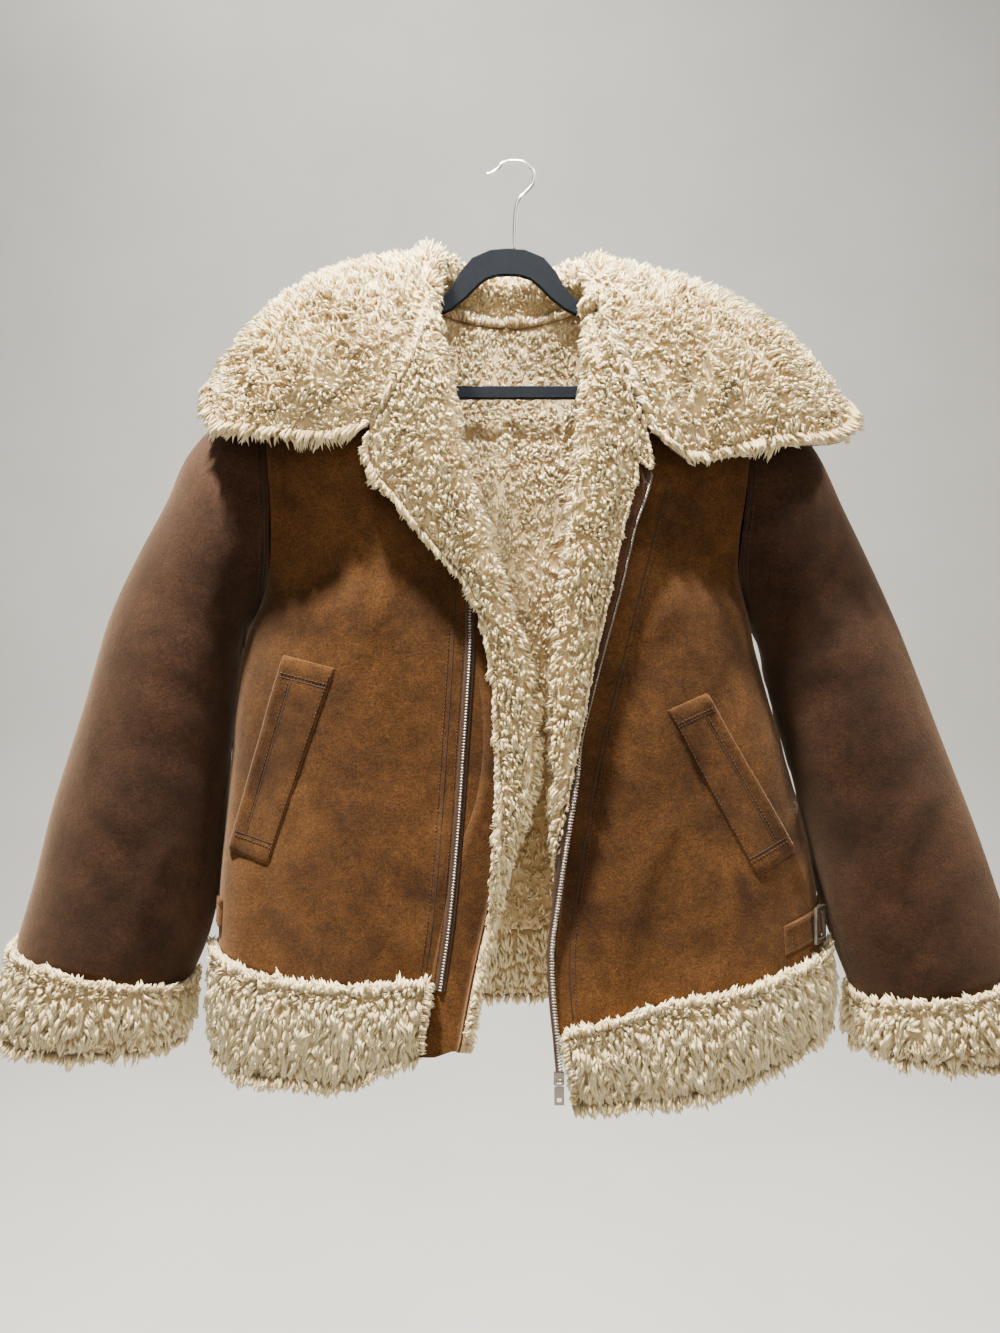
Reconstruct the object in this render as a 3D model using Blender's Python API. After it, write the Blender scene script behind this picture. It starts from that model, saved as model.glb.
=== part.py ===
"""Shearling jacket, open at the front, hanging on a flat hanger with a wire hook.

Metres, +X right, +Y away from the viewer, +Z up. The origin is the top of the hook's inside.
Left and right are the viewer's. Each cloth piece is a wall between two offsets of one shared surface,
so that pieces that meet keep their seam gap.
"""
import math
from functools import partial

import bpy
import numpy as np
from mathutils import Vector
from mathutils.bvhtree import BVHTree

MM = 0.001
GAP = 0.3 * MM            # between neighbouring pieces
SUEDE = 1.8 * MM          # suede side of the skin
PILE = 13.0 * MM          # fur side of the body
PILE_SHOULDER = 7.5 * MM  # fur pressed flat on the hanger
PILE_LAPEL = 13.0 * MM
FACING = 1.6 * MM         # dark strip beside the right zip
ZIP_WIDE = 6.2 * MM       # of the right zip, that stands out of the front's edge
ZIP_THICK = 1.6 * MM
CUFF_GAP = 0.4 * MM       # between a sleeve and its fur cuff
BUCKLE_LIFT = {-1: 5.0 * MM, 1: 6.0 * MM}   # of a buckle's middle over the suede
SLEEVE_INSIDE = 2.0 * MM  # fur of the sleeves, most of which the suede hides
FOLD_RADIUS = 6.0 * MM    # of the rolled front edges, at the middle of the skin
SHOULDER_Y = -1 * MM      # depth of the shoulder seams
SIDE_Y = -20 * MM         # and of the side seams
SHOULDER_Z = -204 * MM
SHOULDER_SLOPE = 0.56     # rise over run of the shoulder seams
ARMHOLE_HIGH = 228 * MM
ARMHOLE_DEEP = 58 * MM    # half of its depth
SHOULDER_ROUND = 120 * MM  # height over which the chest comes out below the shoulder
SIDE_POWER = 2.4          # how square the body is in a level cut, 2 being an oval
FRONT_HALF = 142.5 * MM   # length of a shoulder seam, seen from the front, on the front
BACK_HALF = 228.5 * MM    # and to the middle of the back
HOOK_WIRE = 1.7 * MM      # radius

# Columns: height, seam or side of the body seen from the front, fold of the front edge.
# Heights and places are in mm.
LEFT_SIDE = ((-204, -225.5), (-270, -222), (-370, -218), (-402, -223), (-430, -235),
             (-470, -250), (-520, -258), (-577, -262), (-634, -267), (-690, -272), (-760, -273), (-860, -272))
RIGHT_SIDE = ((-204, 225.5), (-270, 222), (-330, 216), (-370, 212), (-402, 214), (-430, 224),
              (-470, 233), (-520, 246), (-565, 260), (-606, 270), (-663, 284), (-710, 292), (-760, 297),
              (-860, 296))
# Columns: height, place of the fold, place of the free edge, turn of the fold in degrees.
LEFT_EDGE = ((-150, -82, -100, 180), (-190, -76, -108, 180), (-235, -65, -119, 180), (-280, -57, -120, 180),
             (-310, -51, -119, 180), (-345, -41, -93, 180), (-389, -27, -58, 180), (-418, -18, -33, 180),
             (-447, -8.5, -22, 180), (-518, 10.4, -9, 178), (-545, 12.5, -8.5, 174), (-580, 10.8, -9.5, 165),
             (-610, 4.7, -13, 150), (-650, -10.7, -24, 120), (-695, -22.5, -26, 95), (-760, -37.5, -39, 85),
             (-830, -50.5, -52, 75))
RIGHT_EDGE = ((-150, 88, 104, 180), (-170, 84, 106, 180), (-235, 80, 112, 180), (-284, 74.5, 118, 180),
              (-317, 72, 121, 180), (-366, 66.5, 107, 180), (-420, 58.7, 94, 180), (-472, 54.6, 80, 180),
              (-525, 51.5, 67, 178), (-583, 51.5, 54.5, 170), (-610, 51.5, 53.5, 150),
              (-640, 52.3, 52.7, 120), (-670, 51, 51.2, 85),
              (-695, 49, 49.2, 55), (-735, 43.9, 44.1, 30), (-790, 43.8, 44, 20),
              (-850, 47, 47.2, 20))
# Columns: height, front most surface, back most surface.
DEPTH = ((-110, -46, 40), (-190, -64, 44), (-260, -76, 45), (-340, -84, 46), (-450, -89, 47), (-600, -95, 46),
         (-700, -101, 45), (-760, -105, 45), (-860, -112, 46))
# Columns: share of the way from the side to the fold, lower edge of the suede, lower edge of the fur band.
LEFT_HEM = ((0, -748, -836), (0.12, -756, -845), (0.35, -765, -846), (0.6, -764, -842), (0.8, -762, -822),
            (1, -762, -820))
RIGHT_HEM = ((0, -750, -812), (0.15, -757, -826), (0.35, -770, -842), (0.6, -780, -856), (0.85, -796, -860),
             (1, -806, -860))
BACK_HEM = ((0, -748, -836), (0.5, -752, -822), (1, -752, -818), (1.5, -752, -816), (2, -750, -812))
# Columns: outer point x z, inner point x z, half of the depth.
LEFT_SLEEVE = ((-258, -232, -249.5, -452, 58), (-302, -283, -256, -476, 57), (-323, -331, -261, -515, 56),
               (-350, -387, -264, -550, 56), (-374, -444, -267.5, -592, 56), (-402, -539, -272, -655, 57),
               (-426, -615, -277, -700, 58), (-445, -691, -287, -745, 59), (-461, -748, -303, -783, 60))
RIGHT_SLEEVE = ((250, -232, 234, -452, 58), (291, -280, 242, -478, 57), (317, -339, 251.5, -522, 56),
                (346, -406, 264, -563, 56), (374, -473, 275.5, -610, 56), (403, -549, 288, -660, 57),
                (432, -625, 299.5, -712, 58), (456, -693, 312, -752, 59), (480, -768, 330, -797, 60))
LEFT_CUFF = ((-467, -786, -308, -812, 61), (-473, -826, -313, -834, 60))
RIGHT_CUFF = ((488, -806, 331, -822, 61), (494, -842, 333, -838, 60))
# Columns: ridge x y z, free edge x y z, rise between them, level direction in degrees in which it folds.
LEFT_COLLAR = ((-67, -59, -178, -124, -92, -278, 2, -90), (-70, -53, -161, -166, -95, -289, 6, -92),
               (-72.5, -44, -144, -228, -91, -285, 12, -105), (-75, -31, -126, -262, -74, -279, 20, -125),
               (-77, -16, -107, -279, -37, -240, 28, -152), (-73, -1, -96, -276, 3, -218, 32, -185),
               (-61, 13, -94, -246, 44, -238, 30, -225), (-38, 26, -105, -160, 72, -254, 16, -250))
RIGHT_COLLAR = ((75, -56, -156, 123, -94, -280, 2, -90), (77, -50, -146, 163, -96, -309, 6, -88),
                (80, -41, -135, 232, -92, -296, 12, -75), (83, -29, -124, 298, -74, -287, 20, -55),
                (84, -15, -114, 318, -38, -258, 28, -28), (80, -1, -107, 307, 3, -238, 32, 5),
                (67, 13, -103, 266, 44, -252, 30, 45), (42, 26, -108, 172, 72, -264, 16, 70))
COLLAR_BACK = (2, 30, -113, 4, 84, -252, 6, 90)
# Slanted pocket welts: outer top, inner top, inner bottom, outer bottom, as x z.
LEFT_POCKET = ((-202, -478), (-154, -490), (-215, -666), (-255, -656))
RIGHT_POCKET = ((176, -512), (139, -527), (219, -675), (259, -656))
# Middle line of the hanger's arms and half of their height: x z half.
HANGER_ARM = ((0, -96.5, 13), (14, -97.5, 13), (28, -103, 12.5), (38, -113, 11), (47, -125, 9.0),
              (58, -136, 7.5), (76, -146, 6.4), (105, -158.5, 6), (150, -179.6, 6), (190, -201.9, 6.2),
              (204, -209.9, 6.6), (212, -214.4, 5.8), (216, -216.8, 4.2))
HANGER_BAR = (202.4, -223.0, 6.2)   # end x, z, half of the height
HANGER_THICK = 3 * MM     # half
HOOK_PATH = ((-22, -10), (-16.5, -10.3), (-10.5, -6.2), (-6, -0.8), (0.5, 1.9), (7, 2.1), (13.5, 1.3),
             (19, -1.8), (23.4, -6.5), (25.2, -13), (23.2, -21.5), (16.8, -29), (10, -36), (7.5, -45),
             (6.5, -56), (6, -68), (5.8, -83.5))
# The pull tab's pin, whose axis is along X.
PULL_PIN = (0.0425, -0.1204, -0.8435)

# Colour and roughness of each material.
LOOKS = {
    "suede": ((0.235, 0.115, 0.050), 0.92, 0.0),
    "suede_dark": ((0.150, 0.068, 0.034), 0.92, 0.0),
    "fur": ((0.640, 0.480, 0.285), 0.95, 0.0),
    "fur_grey": ((0.600, 0.500, 0.370), 0.95, 0.0),
    "metal": ((0.560, 0.550, 0.530), 0.32, 1.0),
    "chrome": ((0.640, 0.640, 0.640), 0.18, 1.0),
    "flock": ((0.012, 0.013, 0.020), 0.95, 0.0),
}


def column(table, k, at):
    """Column k of a table, as a smooth function of its first column."""
    rows = sorted(table)
    xs = np.array([r[0] for r in rows], float)
    ys = np.array([r[k] for r in rows], float)
    slope = np.gradient(ys, xs)
    at = np.clip(at, xs[0], xs[-1])
    i = np.clip(np.searchsorted(xs, at, side="right") - 1, 0, len(xs) - 2)
    w = xs[i + 1] - xs[i]
    t = (at - xs[i]) / w
    a, b = ys[i], ys[i + 1]
    h = (1 + 2 * t) * (1 - t) ** 2 * a + t * (1 - t) ** 2 * w * slope[i]
    return h + t * t * (3 - 2 * t) * b + t * t * (t - 1) * w * slope[i + 1]


def ease(a, b, x):
    """0 up to a, 1 from b on, smooth between."""
    t = np.clip((x - a) / (b - a), 0, 1)
    return t * t * (3 - 2 * t)


def side_x(side, z):
    """Seam between body and sleeve, and below the arm the space between them."""
    return column(LEFT_SIDE if side < 0 else RIGHT_SIDE, 1, z / MM) * MM


def body_x(side, z):
    """Where the body's own surface starts, a little inside side_x."""
    clear = 0.6 * MM + 1.9 * MM * ease(-0.29, -0.39, z)
    return side_x(side, z) - side * clear


def body_depth(z, column_number):
    """Front most surface for column 1, back most for column 2."""
    return column(DEPTH, column_number, z / MM) * MM


def side_y(z):
    """Depth of the shoulder point or of the side seam."""
    return SHOULDER_Y + (SIDE_Y - SHOULDER_Y) * ease(-0.24, -0.46, z)


def armhole_half(below):
    """Half of the armhole's depth at a height below the shoulder point: round above, narrow below."""
    half = ARMHOLE_HIGH / 2
    t = np.clip((below - half) / half, -1, 1)
    return ARMHOLE_DEEP * (1 - t * t) ** (0.5 + 0.6 * np.clip(t, 0, 1))


def profile(side, q, z, below, facing):
    """Depth of the body at a share q of the way from its side, below the shoulder line."""
    power = 1 / SIDE_POWER + (1 - 1 / SIDE_POWER) * ease(-0.445, -0.36, z)
    out = (1 - (1 - np.clip(q, 0, 1)) ** SIDE_POWER) ** power
    arm = armhole_half(below)
    rise = np.sqrt(np.clip(1 - (1 - np.clip(below / SHOULDER_ROUND, 0, 1)) ** 2, 0, 1))
    deep = abs(body_depth(z, 1 if facing < 0 else 2) - side_y(z))
    fold = folds(side, q, z, facing)
    return side_y(z) + facing * (arm * (1 - out) + (deep + fold) * rise * out) + facing * 0.25 * MM


def folds(side, q, z, facing):
    """The largest soft folds of the body, as a push out or in."""
    low = ease(-0.42, -0.6, z)
    if facing < 0:
        wave = 4.0 * np.cos(2 * math.pi * (1.5 * q + 2.2 * z + 0.2 * side)) * low
        chest = 5.0 * np.exp(-((q - 0.45) / 0.2) ** 2 - ((z + 0.33) / 0.07) ** 2)
        return (wave * np.clip(q * 4, 0, 1) * np.clip((1 - q) * 4, 0, 1) + chest) * MM
    across = q if side < 0 else 2 - q
    return 3.5 * MM * np.cos(2 * math.pi * (1.4 * across + 1.1 * z)) * np.clip(q * 3, 0, 1) * low


def shoulder(x_from_side):
    """Height of the shoulder seam."""
    return SHOULDER_Z + SHOULDER_SLOPE * x_from_side


NECK_SHARE = 0.93         # of the front, where the neckline starts to go down
NECK_SHARE_BACK = 0.58
GORGE_Z = {-1: -190 * MM, 1: -170 * MM}
LAPEL_TOP_Z = {-1: -281 * MM, 1: -284 * MM}
BACK_NECK_Z = -150 * MM


def front_top(side, q):
    """Upper edge of a front at a share q of its width."""
    across = FRONT_HALF * q
    neck = shoulder(FRONT_HALF * NECK_SHARE)
    down = np.clip((q - NECK_SHARE) / (1 - NECK_SHARE), 0, 1)
    return np.where(q < NECK_SHARE, shoulder(across), neck + (GORGE_Z[side] - neck) * down)


def hem(side, q, k):
    """Height of the suede's lower edge for k 1, of the fur band's for k 2."""
    return column(LEFT_HEM if side < 0 else RIGHT_HEM, k, q) * MM


def edge(side, z, k):
    """Place of the front edge's fold for k 1, of its free edge for k 2, and the turn for k 3."""
    return column(LEFT_EDGE if side < 0 else RIGHT_EDGE, k, z / MM) * (MM if k < 3 else 1)


def front(side, u, s):
    """Surface of a front. u runs 0 to 1 from the side to the fold, to 2 round it and to 3 over the lapel."""
    q = min(u, 1.0)
    bottom = hem(side, q, 1)
    top = front_top(side, q)
    if u > 2:
        top = GORGE_Z[side] + (LAPEL_TOP_Z[side] - GORGE_Z[side]) * (u - 2)
    z = bottom + (top - bottom) * s
    start, stop = body_x(side, z), edge(side, z, 1)
    below = shoulder(FRONT_HALF * q) - z
    y = profile(side, q, z, below, -1)
    x = start + (stop - start) * q
    if u > 1:
        turn = math.radians(edge(side, z, 3))
        a = turn * min(u - 1, 1.0)
        x = stop - side * FOLD_RADIUS * math.sin(a)
        y = y - FOLD_RADIUS * (1 - math.cos(a))
        if u > 2:
            reach = abs(stop - edge(side, z, 2)) + 2 * MM
            x -= side * reach * (u - 2) * math.cos(turn)
            y -= reach * (u - 2) * math.sin(turn)
    return np.array((float(x), float(y), float(z)))


def back_hem(u, k):
    """Height of the back's lower edge for k 1, of its fur band's for k 2."""
    return column(BACK_HEM, k, u) * MM


def back(u, s):
    """Surface of the back. u runs 0 to 2 from the left to the right side."""
    side, q = (-1, u) if u <= 1 else (1, 2 - u)
    bottom = back_hem(u, 1)
    neck = shoulder(BACK_HALF * NECK_SHARE_BACK)
    across = BACK_HALF * q
    if q < NECK_SHARE_BACK:
        top = shoulder(across)
    else:
        t = (q - NECK_SHARE_BACK) / (1 - NECK_SHARE_BACK)
        top = neck + (BACK_NECK_Z - neck) * math.sin(t * math.pi / 2)
    z = bottom + (top - bottom) * s
    left, right = body_x(-1, z), body_x(1, z)
    middle = (left + right) / 2
    start = left if side < 0 else right
    y = profile(side, q, z, shoulder(across) - z, 1)
    return np.array((float(start + (middle - start) * q), float(y), float(z)))


def grid(surface, us, vs, flip=1):
    """Points and unit normals of a surface at all pairs of us and vs."""
    p = np.array([[surface(u, v) for v in vs] for u in us])
    n = np.zeros_like(p)
    step = 1e-6
    for i, u in enumerate(us):
        for j, v in enumerate(vs):
            ua, ub = max(u - step, us[0]), min(u + step, us[-1])
            va, vb = max(v - step, vs[0]), min(v + step, vs[-1])
            m = np.cross(surface(ub, v) - surface(ua, v), surface(u, vb) - surface(u, va))
            n[i, j] = flip * m / max(np.linalg.norm(m), 1e-30)
    return p, n


def trimmed(p, first=False, last=False, gap=GAP):
    """The grid with its first or last line pulled in by the seam gap."""
    p = p.copy()
    if first:
        d = p[1] - p[0]
        p[0] = p[0] + d / np.linalg.norm(d, axis=-1, keepdims=True) * gap
    if last:
        d = p[-2] - p[-1]
        p[-1] = p[-1] + d / np.linalg.norm(d, axis=-1, keepdims=True) * gap
    return p


parts = []


def material(look):
    name = "jacket_" + look
    if name in bpy.data.materials:
        return bpy.data.materials[name]
    m = bpy.data.materials.new(name)
    m.use_nodes = True
    b = m.node_tree.nodes["Principled BSDF"]
    colour, rough, metal = LOOKS[look]
    b.inputs["Base Color"].default_value = (*colour, 1)
    b.inputs["Roughness"].default_value = rough
    b.inputs["Metallic"].default_value = metal
    m.diffuse_color = (*colour, 1)
    return m


def own_material(name, look):
    m = material(look).copy()
    m.name = "mat_" + name
    return m


def add_mesh(name, points, faces, look):
    mesh = bpy.data.meshes.new(name)
    mesh.from_pydata([tuple(map(float, p)) for p in points], [], faces)
    mesh.validate()
    o = bpy.data.objects.new(name, mesh)
    mesh.materials.append(own_material(name, look))
    collection.objects.link(o)
    parts.append(o)
    turn_outward(o)
    return o


def turn_outward(o):
    """Flip the faces of a closed mesh whose signed volume is negative."""
    m = o.data
    m.calc_loop_triangles()
    v = np.array([x.co for x in m.vertices])
    t = np.array([x.vertices for x in m.loop_triangles])
    a, b, c = v[t[:, 0]], v[t[:, 1]], v[t[:, 2]]
    if np.einsum("ij,ij->i", a, np.cross(b, c)).sum() < 0:
        m.flip_normals()


def wall(name, near, far, look, closed=False):
    """A closed wall between two grids of points. closed joins the first line to the last."""
    nu, nv = near.shape[:2]
    points = np.concatenate([near.reshape(-1, 3), far.reshape(-1, 3)])
    off = nu * nv
    faces = []
    lines = nu if closed else nu - 1
    for i in range(lines):
        k = (i + 1) % nu
        for j in range(nv - 1):
            a, b, c, d = i * nv + j, k * nv + j, k * nv + j + 1, i * nv + j + 1
            faces += [(a, b, c), (a, c, d), (off + a, off + c, off + b), (off + a, off + d, off + c)]
        for j, turned in ((0, False), (nv - 1, True)):
            a, b = i * nv + j, k * nv + j
            faces.append((a, off + a, off + b, b) if not turned else (a, b, off + b, off + a))
    if not closed:
        for i, turned in ((0, True), (nu - 1, False)):
            for j in range(nv - 1):
                a, b = i * nv + j, i * nv + j + 1
                faces.append((a, off + a, off + b, b) if not turned else (a, b, off + b, off + a))
    return add_mesh(name, points, faces, look)


for old in list(bpy.data.objects):
    bpy.data.objects.remove(old, do_unlink=True)
collection = bpy.data.collections.new("shearling_jacket")
bpy.context.scene.collection.children.link(collection)

# Shares of the height, close together near the shoulder where the surface turns over.
ROWS = [0, 0.11, 0.23, 0.35, 0.47, 0.57, 0.63, 0.69, 0.76] + [1 - 0.215 * (1 - math.cos(math.radians(a)))
                                                   for a in (68, 50, 33, 17, 0)]
SIDE_SHARES = [0, 0.0012, 0.009, 0.033, 0.085, 0.18, 0.31, 0.46, 0.62, 0.76]


def pile_of(p, us, full):
    """Pile height of a lining: flat on the hanger, at the underarm and at the neckline."""
    share = np.array(us)[:, None] * np.ones(p.shape[:2])
    z = p[..., 2]
    t = full + (PILE_SHOULDER - full) * ease(-0.34, -0.235, z) * (share < 0.96)
    arm = ease(-0.50, -0.44, z) * ease(-0.25, -0.32, z) * ease(0.4, 0.12, share)
    return t * (1 - 0.95 * arm)


def rounded(t, count, least=0.35):
    """Pile heights that fall off over the last lines of u."""
    t = t.copy()
    for k in range(count):
        t[-1 - k] *= least + (1 - least) * math.sin(math.pi / 2 * k / count)
    return t


def front_us():
    return SIDE_SHARES + [0.87, 0.95, 1.0, 1.25, 1.5, 1.75, 2.0, 2.35, 2.7, 3.0]


def offset(p, n, t):
    """Points moved out along their normals by t, one number or one for each."""
    return p + n * (t[..., None] if isinstance(t, np.ndarray) else t)


class Surface:
    """The outer side of a panel's own facets, to lay other pieces on."""

    def __init__(self, *grids):
        points, faces, off = [], [], 0
        for g in grids:
            nu, nv = g.shape[:2]
            points += [tuple(x) for x in g.reshape(-1, 3)]
            for i in range(nu - 1):
                for j in range(nv - 1):
                    a, b = off + i * nv + j, off + (i + 1) * nv + j
                    faces += [(a, b, b + 1), (a, b + 1, a + 1)]
            off += nu * nv
        self.tree = BVHTree.FromPolygons(points, faces)

    def seen_from(self, origin, direction):
        hit = self.tree.ray_cast(Vector(origin), Vector(direction).normalized())
        if hit[0] is None:
            hit = self.tree.find_nearest(Vector(origin) + Vector(direction) * 0.1)
        return np.array(hit[0])


def laid(name, points, outward, low, high, look):
    """A wall on a surface from a grid of points on it. low and high are its offsets."""
    du = np.gradient(points, axis=0)
    dv = np.gradient(points, axis=1)
    n = np.cross(du, dv)
    n /= np.linalg.norm(n, axis=-1, keepdims=True)
    n *= np.sign(np.einsum("ijk,ijk->ij", n, np.broadcast_to(outward, n.shape)))[..., None]
    near = points + n * low
    far = points + n * (high[..., None] if isinstance(high, np.ndarray) else high)
    return wall(name, near, far, look)


def build_front(side):
    us = front_us()
    zip_at = us.index(0.87)
    rows = ([-0.1, -0.05] if side < 0 else [-0.062, -0.03]) + ROWS
    p, n = grid(partial(front, side), us, rows, flip=-side)
    pile = pile_of(p, us, PILE_LAPEL)
    neck = ease(0.9, 1.0, np.array(rows))[None, :] * ((np.array(us) > 0.8) & (np.array(us) < 1.1))[:, None]
    pile = pile * (1 - 0.5 * neck)
    inner = p - n * GAP
    low = 2                   # lines of the grid below the hem of the suede, for the wind flap alone
    if side < 0:
        a, b = slice(0, zip_at + 1), slice(zip_at, len(us))
        pa = trimmed(p[a, low:], last=True)
        wall("front_left", pa, offset(pa, n[a, low:], SUEDE), "suede")
        pb = trimmed(p[b], first=True)
        wall("flap_left", pb, offset(pb, n[b], SUEDE), "suede")
        fa = trimmed(inner[a, low:], last=True)
        wall("lining_front_left", fa, offset(fa, n[a, low:], -pile[a, low:]), "fur")
        t = rounded(pile[b], count=3)
        fb = trimmed(inner[b], first=True)
        wall("lapel_fur_left", fb, offset(fb, n[b], -t), "fur")
    else:
        wall("front_right", p[:, low:], offset(p, n, SUEDE)[:, low:], "suede")
        fade = ease(-0.62, -0.72, p[..., 2]) * (np.array(us)[:, None] > 0.9)
        t = rounded(pile, count=3, least=0.2) * (1 - 0.8 * fade)
        fur = slice(0, len(us) - 1)
        wall("lining_front_right", inner[fur, low:], offset(inner, n, -t)[fur, low:], "fur")
        strip = slice(len(us) - 2, len(us))
        tall = slice(6, -3)
        f = trimmed(inner[strip, tall], first=True)
        wall("facing_right", f, offset(f, n[strip, tall], -FACING), "suede_dark")
        end = p[-1]
        along = p[-1] - p[-2]
        along /= np.linalg.norm(along, axis=-1, keepdims=True)
        tape = np.array([end + along * GAP, end + along * ZIP_WIDE / 2, end + along * ZIP_WIDE])
        wall("zip_right", tape, tape + n[-1] * ZIP_THICK, "metal")
    return offset(p, n, SUEDE)


def back_us():
    return SIDE_SHARES + [0.88, 1.0, 1.12] + [2 - q for q in reversed(SIDE_SHARES)]


def build_back():
    us = back_us()
    p, n = grid(back, us, ROWS, flip=-1)
    wall("back", p, offset(p, n, SUEDE), "suede")
    inner = p - n * GAP
    pile = pile_of(p, [min(u, 2 - u) for u in us], PILE)
    wall("lining_back", inner, offset(inner, n, -pile), "fur")
    return offset(p, n, SUEDE)


def band(name, surface, us, height, side, end=False):
    """A fur hem band below the suede. height(u, k) is that of its upper edge for k 1, lower for k 2."""
    vs = [0.0, 0.22, 0.6, 1.0]

    def at(u, v):
        low, top = height(u, 2), height(u, 1) - 4 * GAP
        return surface(u, low + (top - low) * v)

    p, n = grid(at, us, vs, flip=side)
    out = np.array([7.0, 12.0, 13.0, 10.0]) * MM * np.ones((len(us), 1))
    inside = np.array([5.0, 9.0, 10.0, 9.0]) * MM * np.ones((len(us), 1))
    if end:
        out = rounded(out, count=2, least=0.4)
        p = trimmed(p, last=True, gap=0.6 * MM)
    wall(name, offset(p, n, -inside), offset(p, n, out), "fur_grey")


def front_at(side, u, z):
    """The front's surface at a given height below the hem of the suede."""
    bottom = hem(side, min(u, 1.0), 1)
    top = front_top(side, min(u, 1.0))
    return front(side, u, float((z - bottom) / (top - bottom)))


def back_at(u, z):
    """The back's surface at a given height below the hem of the suede."""
    bottom = back_hem(u, 1)
    one = back(u, 1.0)[2]
    return back(u, float((z - bottom) / (one - bottom)))


def build_hems():
    us = list(SIDE_SHARES)
    band("hem_left", partial(front_at, -1), us + [0.87], partial(hem, -1), 1, end=True)
    band("hem_right", partial(front_at, 1), us + [0.87, 0.95], partial(hem, 1), -1, end=True)
    band("hem_back", back_at, back_us(), back_hem, -1)


RING = [2 * math.pi * k / 18 for k in range(18)]


def sleeve_rings(side):
    table = LEFT_SLEEVE if side < 0 else RIGHT_SLEEVE
    rings = []
    half = ARMHOLE_HIGH / 2
    first = []
    for a in RING:
        z = SHOULDER_Z - half + half * math.cos(a)
        deep = float(armhole_half(SHOULDER_Z - z))
        y = float(side_y(z)) - (deep if math.sin(a) > 0 else -deep)
        first.append((float(side_x(side, z)) + side * GAP, y, z))
    rings.append(np.array(first))
    for row in table:
        rings.append(ring(row))
    return rings


def ring(row):
    """An oval through an outer and an inner point, half as deep as stated."""
    xo, zo, xi, zi, deep = (v * MM for v in row)
    outer = np.array((xo, side_y(zo), zo))
    inner = np.array((xi, side_y(zi), zi))
    middle, arm = (outer + inner) / 2, (outer - inner) / 2
    return np.array([middle + arm * math.cos(a) - np.array((0, 1, 0)) * deep * math.sin(a) for a in RING])


def tube_normals(p):
    """Outward normals of a grid whose first direction runs round a tube."""
    around = np.roll(p, -1, axis=0) - np.roll(p, 1, axis=0)
    along = np.gradient(p, axis=1)
    n = np.cross(around, along)
    n /= np.linalg.norm(n, axis=-1, keepdims=True)
    middle = p.mean(axis=0, keepdims=True)
    n *= np.sign(np.einsum("ijk,ijk->ij", n, p - middle).sum())
    return n


def ring_axis(points):
    """Unit vector along a tube's middle line at one of its rings, pointing down."""
    quarter = len(points) // 4
    axis = np.cross(points[0] - points[2 * quarter], points[quarter] - points[3 * quarter])
    axis /= np.linalg.norm(axis)
    return axis if axis[2] < 0 else -axis


def in_plane(n, axis):
    """Unit normals without their part along an axis."""
    n = n - axis * (n @ axis)[:, None]
    return n / np.linalg.norm(n, axis=-1, keepdims=True)


def build_sleeve(side, tag):
    rings = sleeve_rings(side)
    p = np.array(rings).transpose(1, 0, 2)
    n = tube_normals(p)
    n[:, 0] = in_plane(n[:, 0], np.array((1.0, 0, 0)))
    n[:, -1] = in_plane(n[:, -1], ring_axis(rings[-1]))
    wall("sleeve_" + tag, p - n * SLEEVE_INSIDE, p + n * SUEDE, "suede", closed=True)
    low = [ring(row) for row in (LEFT_CUFF if side < 0 else RIGHT_CUFF)]
    first = rings[-1] + ring_axis(rings[-1]) * CUFF_GAP
    c = np.array([first] + low).transpose(1, 0, 2)
    m = tube_normals(c)
    m[:, 0] = in_plane(m[:, 0], ring_axis(first))
    out = np.array([9.0, 12.0, 7.5]) * MM * np.ones((len(RING), 1))
    inside = np.array([7.0, 9.0, 5.0]) * MM * np.ones((len(RING), 1))
    wall("cuff_" + tag, offset(c, m, -inside), offset(c, m, out), "fur_grey", closed=True)


COLLAR_FOLD = 6.5 * MM
COLLAR_LEAF = (0.18, 0.4, 0.64, 0.86, 1.0)


def collar_section(base, row):
    """Points from the bottom of the stand round the fold to the free edge."""
    ridge, edge_point = np.array(row[:3]) * MM, np.array(row[3:6]) * MM
    rise, angle = row[6] * MM, math.radians(row[7])
    out = np.array((math.cos(angle), math.sin(angle), 0))
    up = (ridge - base) - out * np.dot(ridge - base, out)
    up /= np.linalg.norm(up)
    middle = ridge - up * COLLAR_FOLD
    points = [base, base + (middle - out * COLLAR_FOLD - base) * 0.5]
    for a in (0, 45, 90, 135, 180):
        r = math.radians(a)
        points.append(middle + COLLAR_FOLD * (math.sin(r) * up - math.cos(r) * out))
    start = points[-1]
    leaf = edge_point - start
    lift = out - leaf * np.dot(out, leaf) / np.dot(leaf, leaf)
    lift /= np.linalg.norm(lift)
    for t in COLLAR_LEAF:
        points.append(start + leaf * t + lift * rise * math.sin(math.pi * t))
    return points


def collar_half(side):
    """Sections of one half. Each stands on the neckline of a front, facing -1, or of the back, facing 1."""
    table = LEFT_COLLAR if side < 0 else RIGHT_COLLAR
    first = (-1, 0.992 if side < 0 else 0.983)
    second = (-1, 0.975 if side < 0 else 0.97)
    shares = (first, second, (-1, 0.96), (-1, 0.947), (-1, 0.935), (1, 0.62), (1, 0.76), (1, 0.88))
    sections = []
    for row, (facing, q) in zip(table, shares):
        if facing < 0:
            base = front(side, q, 1.0) + np.array((-side * 0.6 * MM, 0, 1.6 * MM))
        else:
            base = back(q if side < 0 else 2 - q, 1.0) + np.array((0, 0, 1.3 * MM))
        sections.append(np.array(collar_section(base, row)))
    return sections


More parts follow.
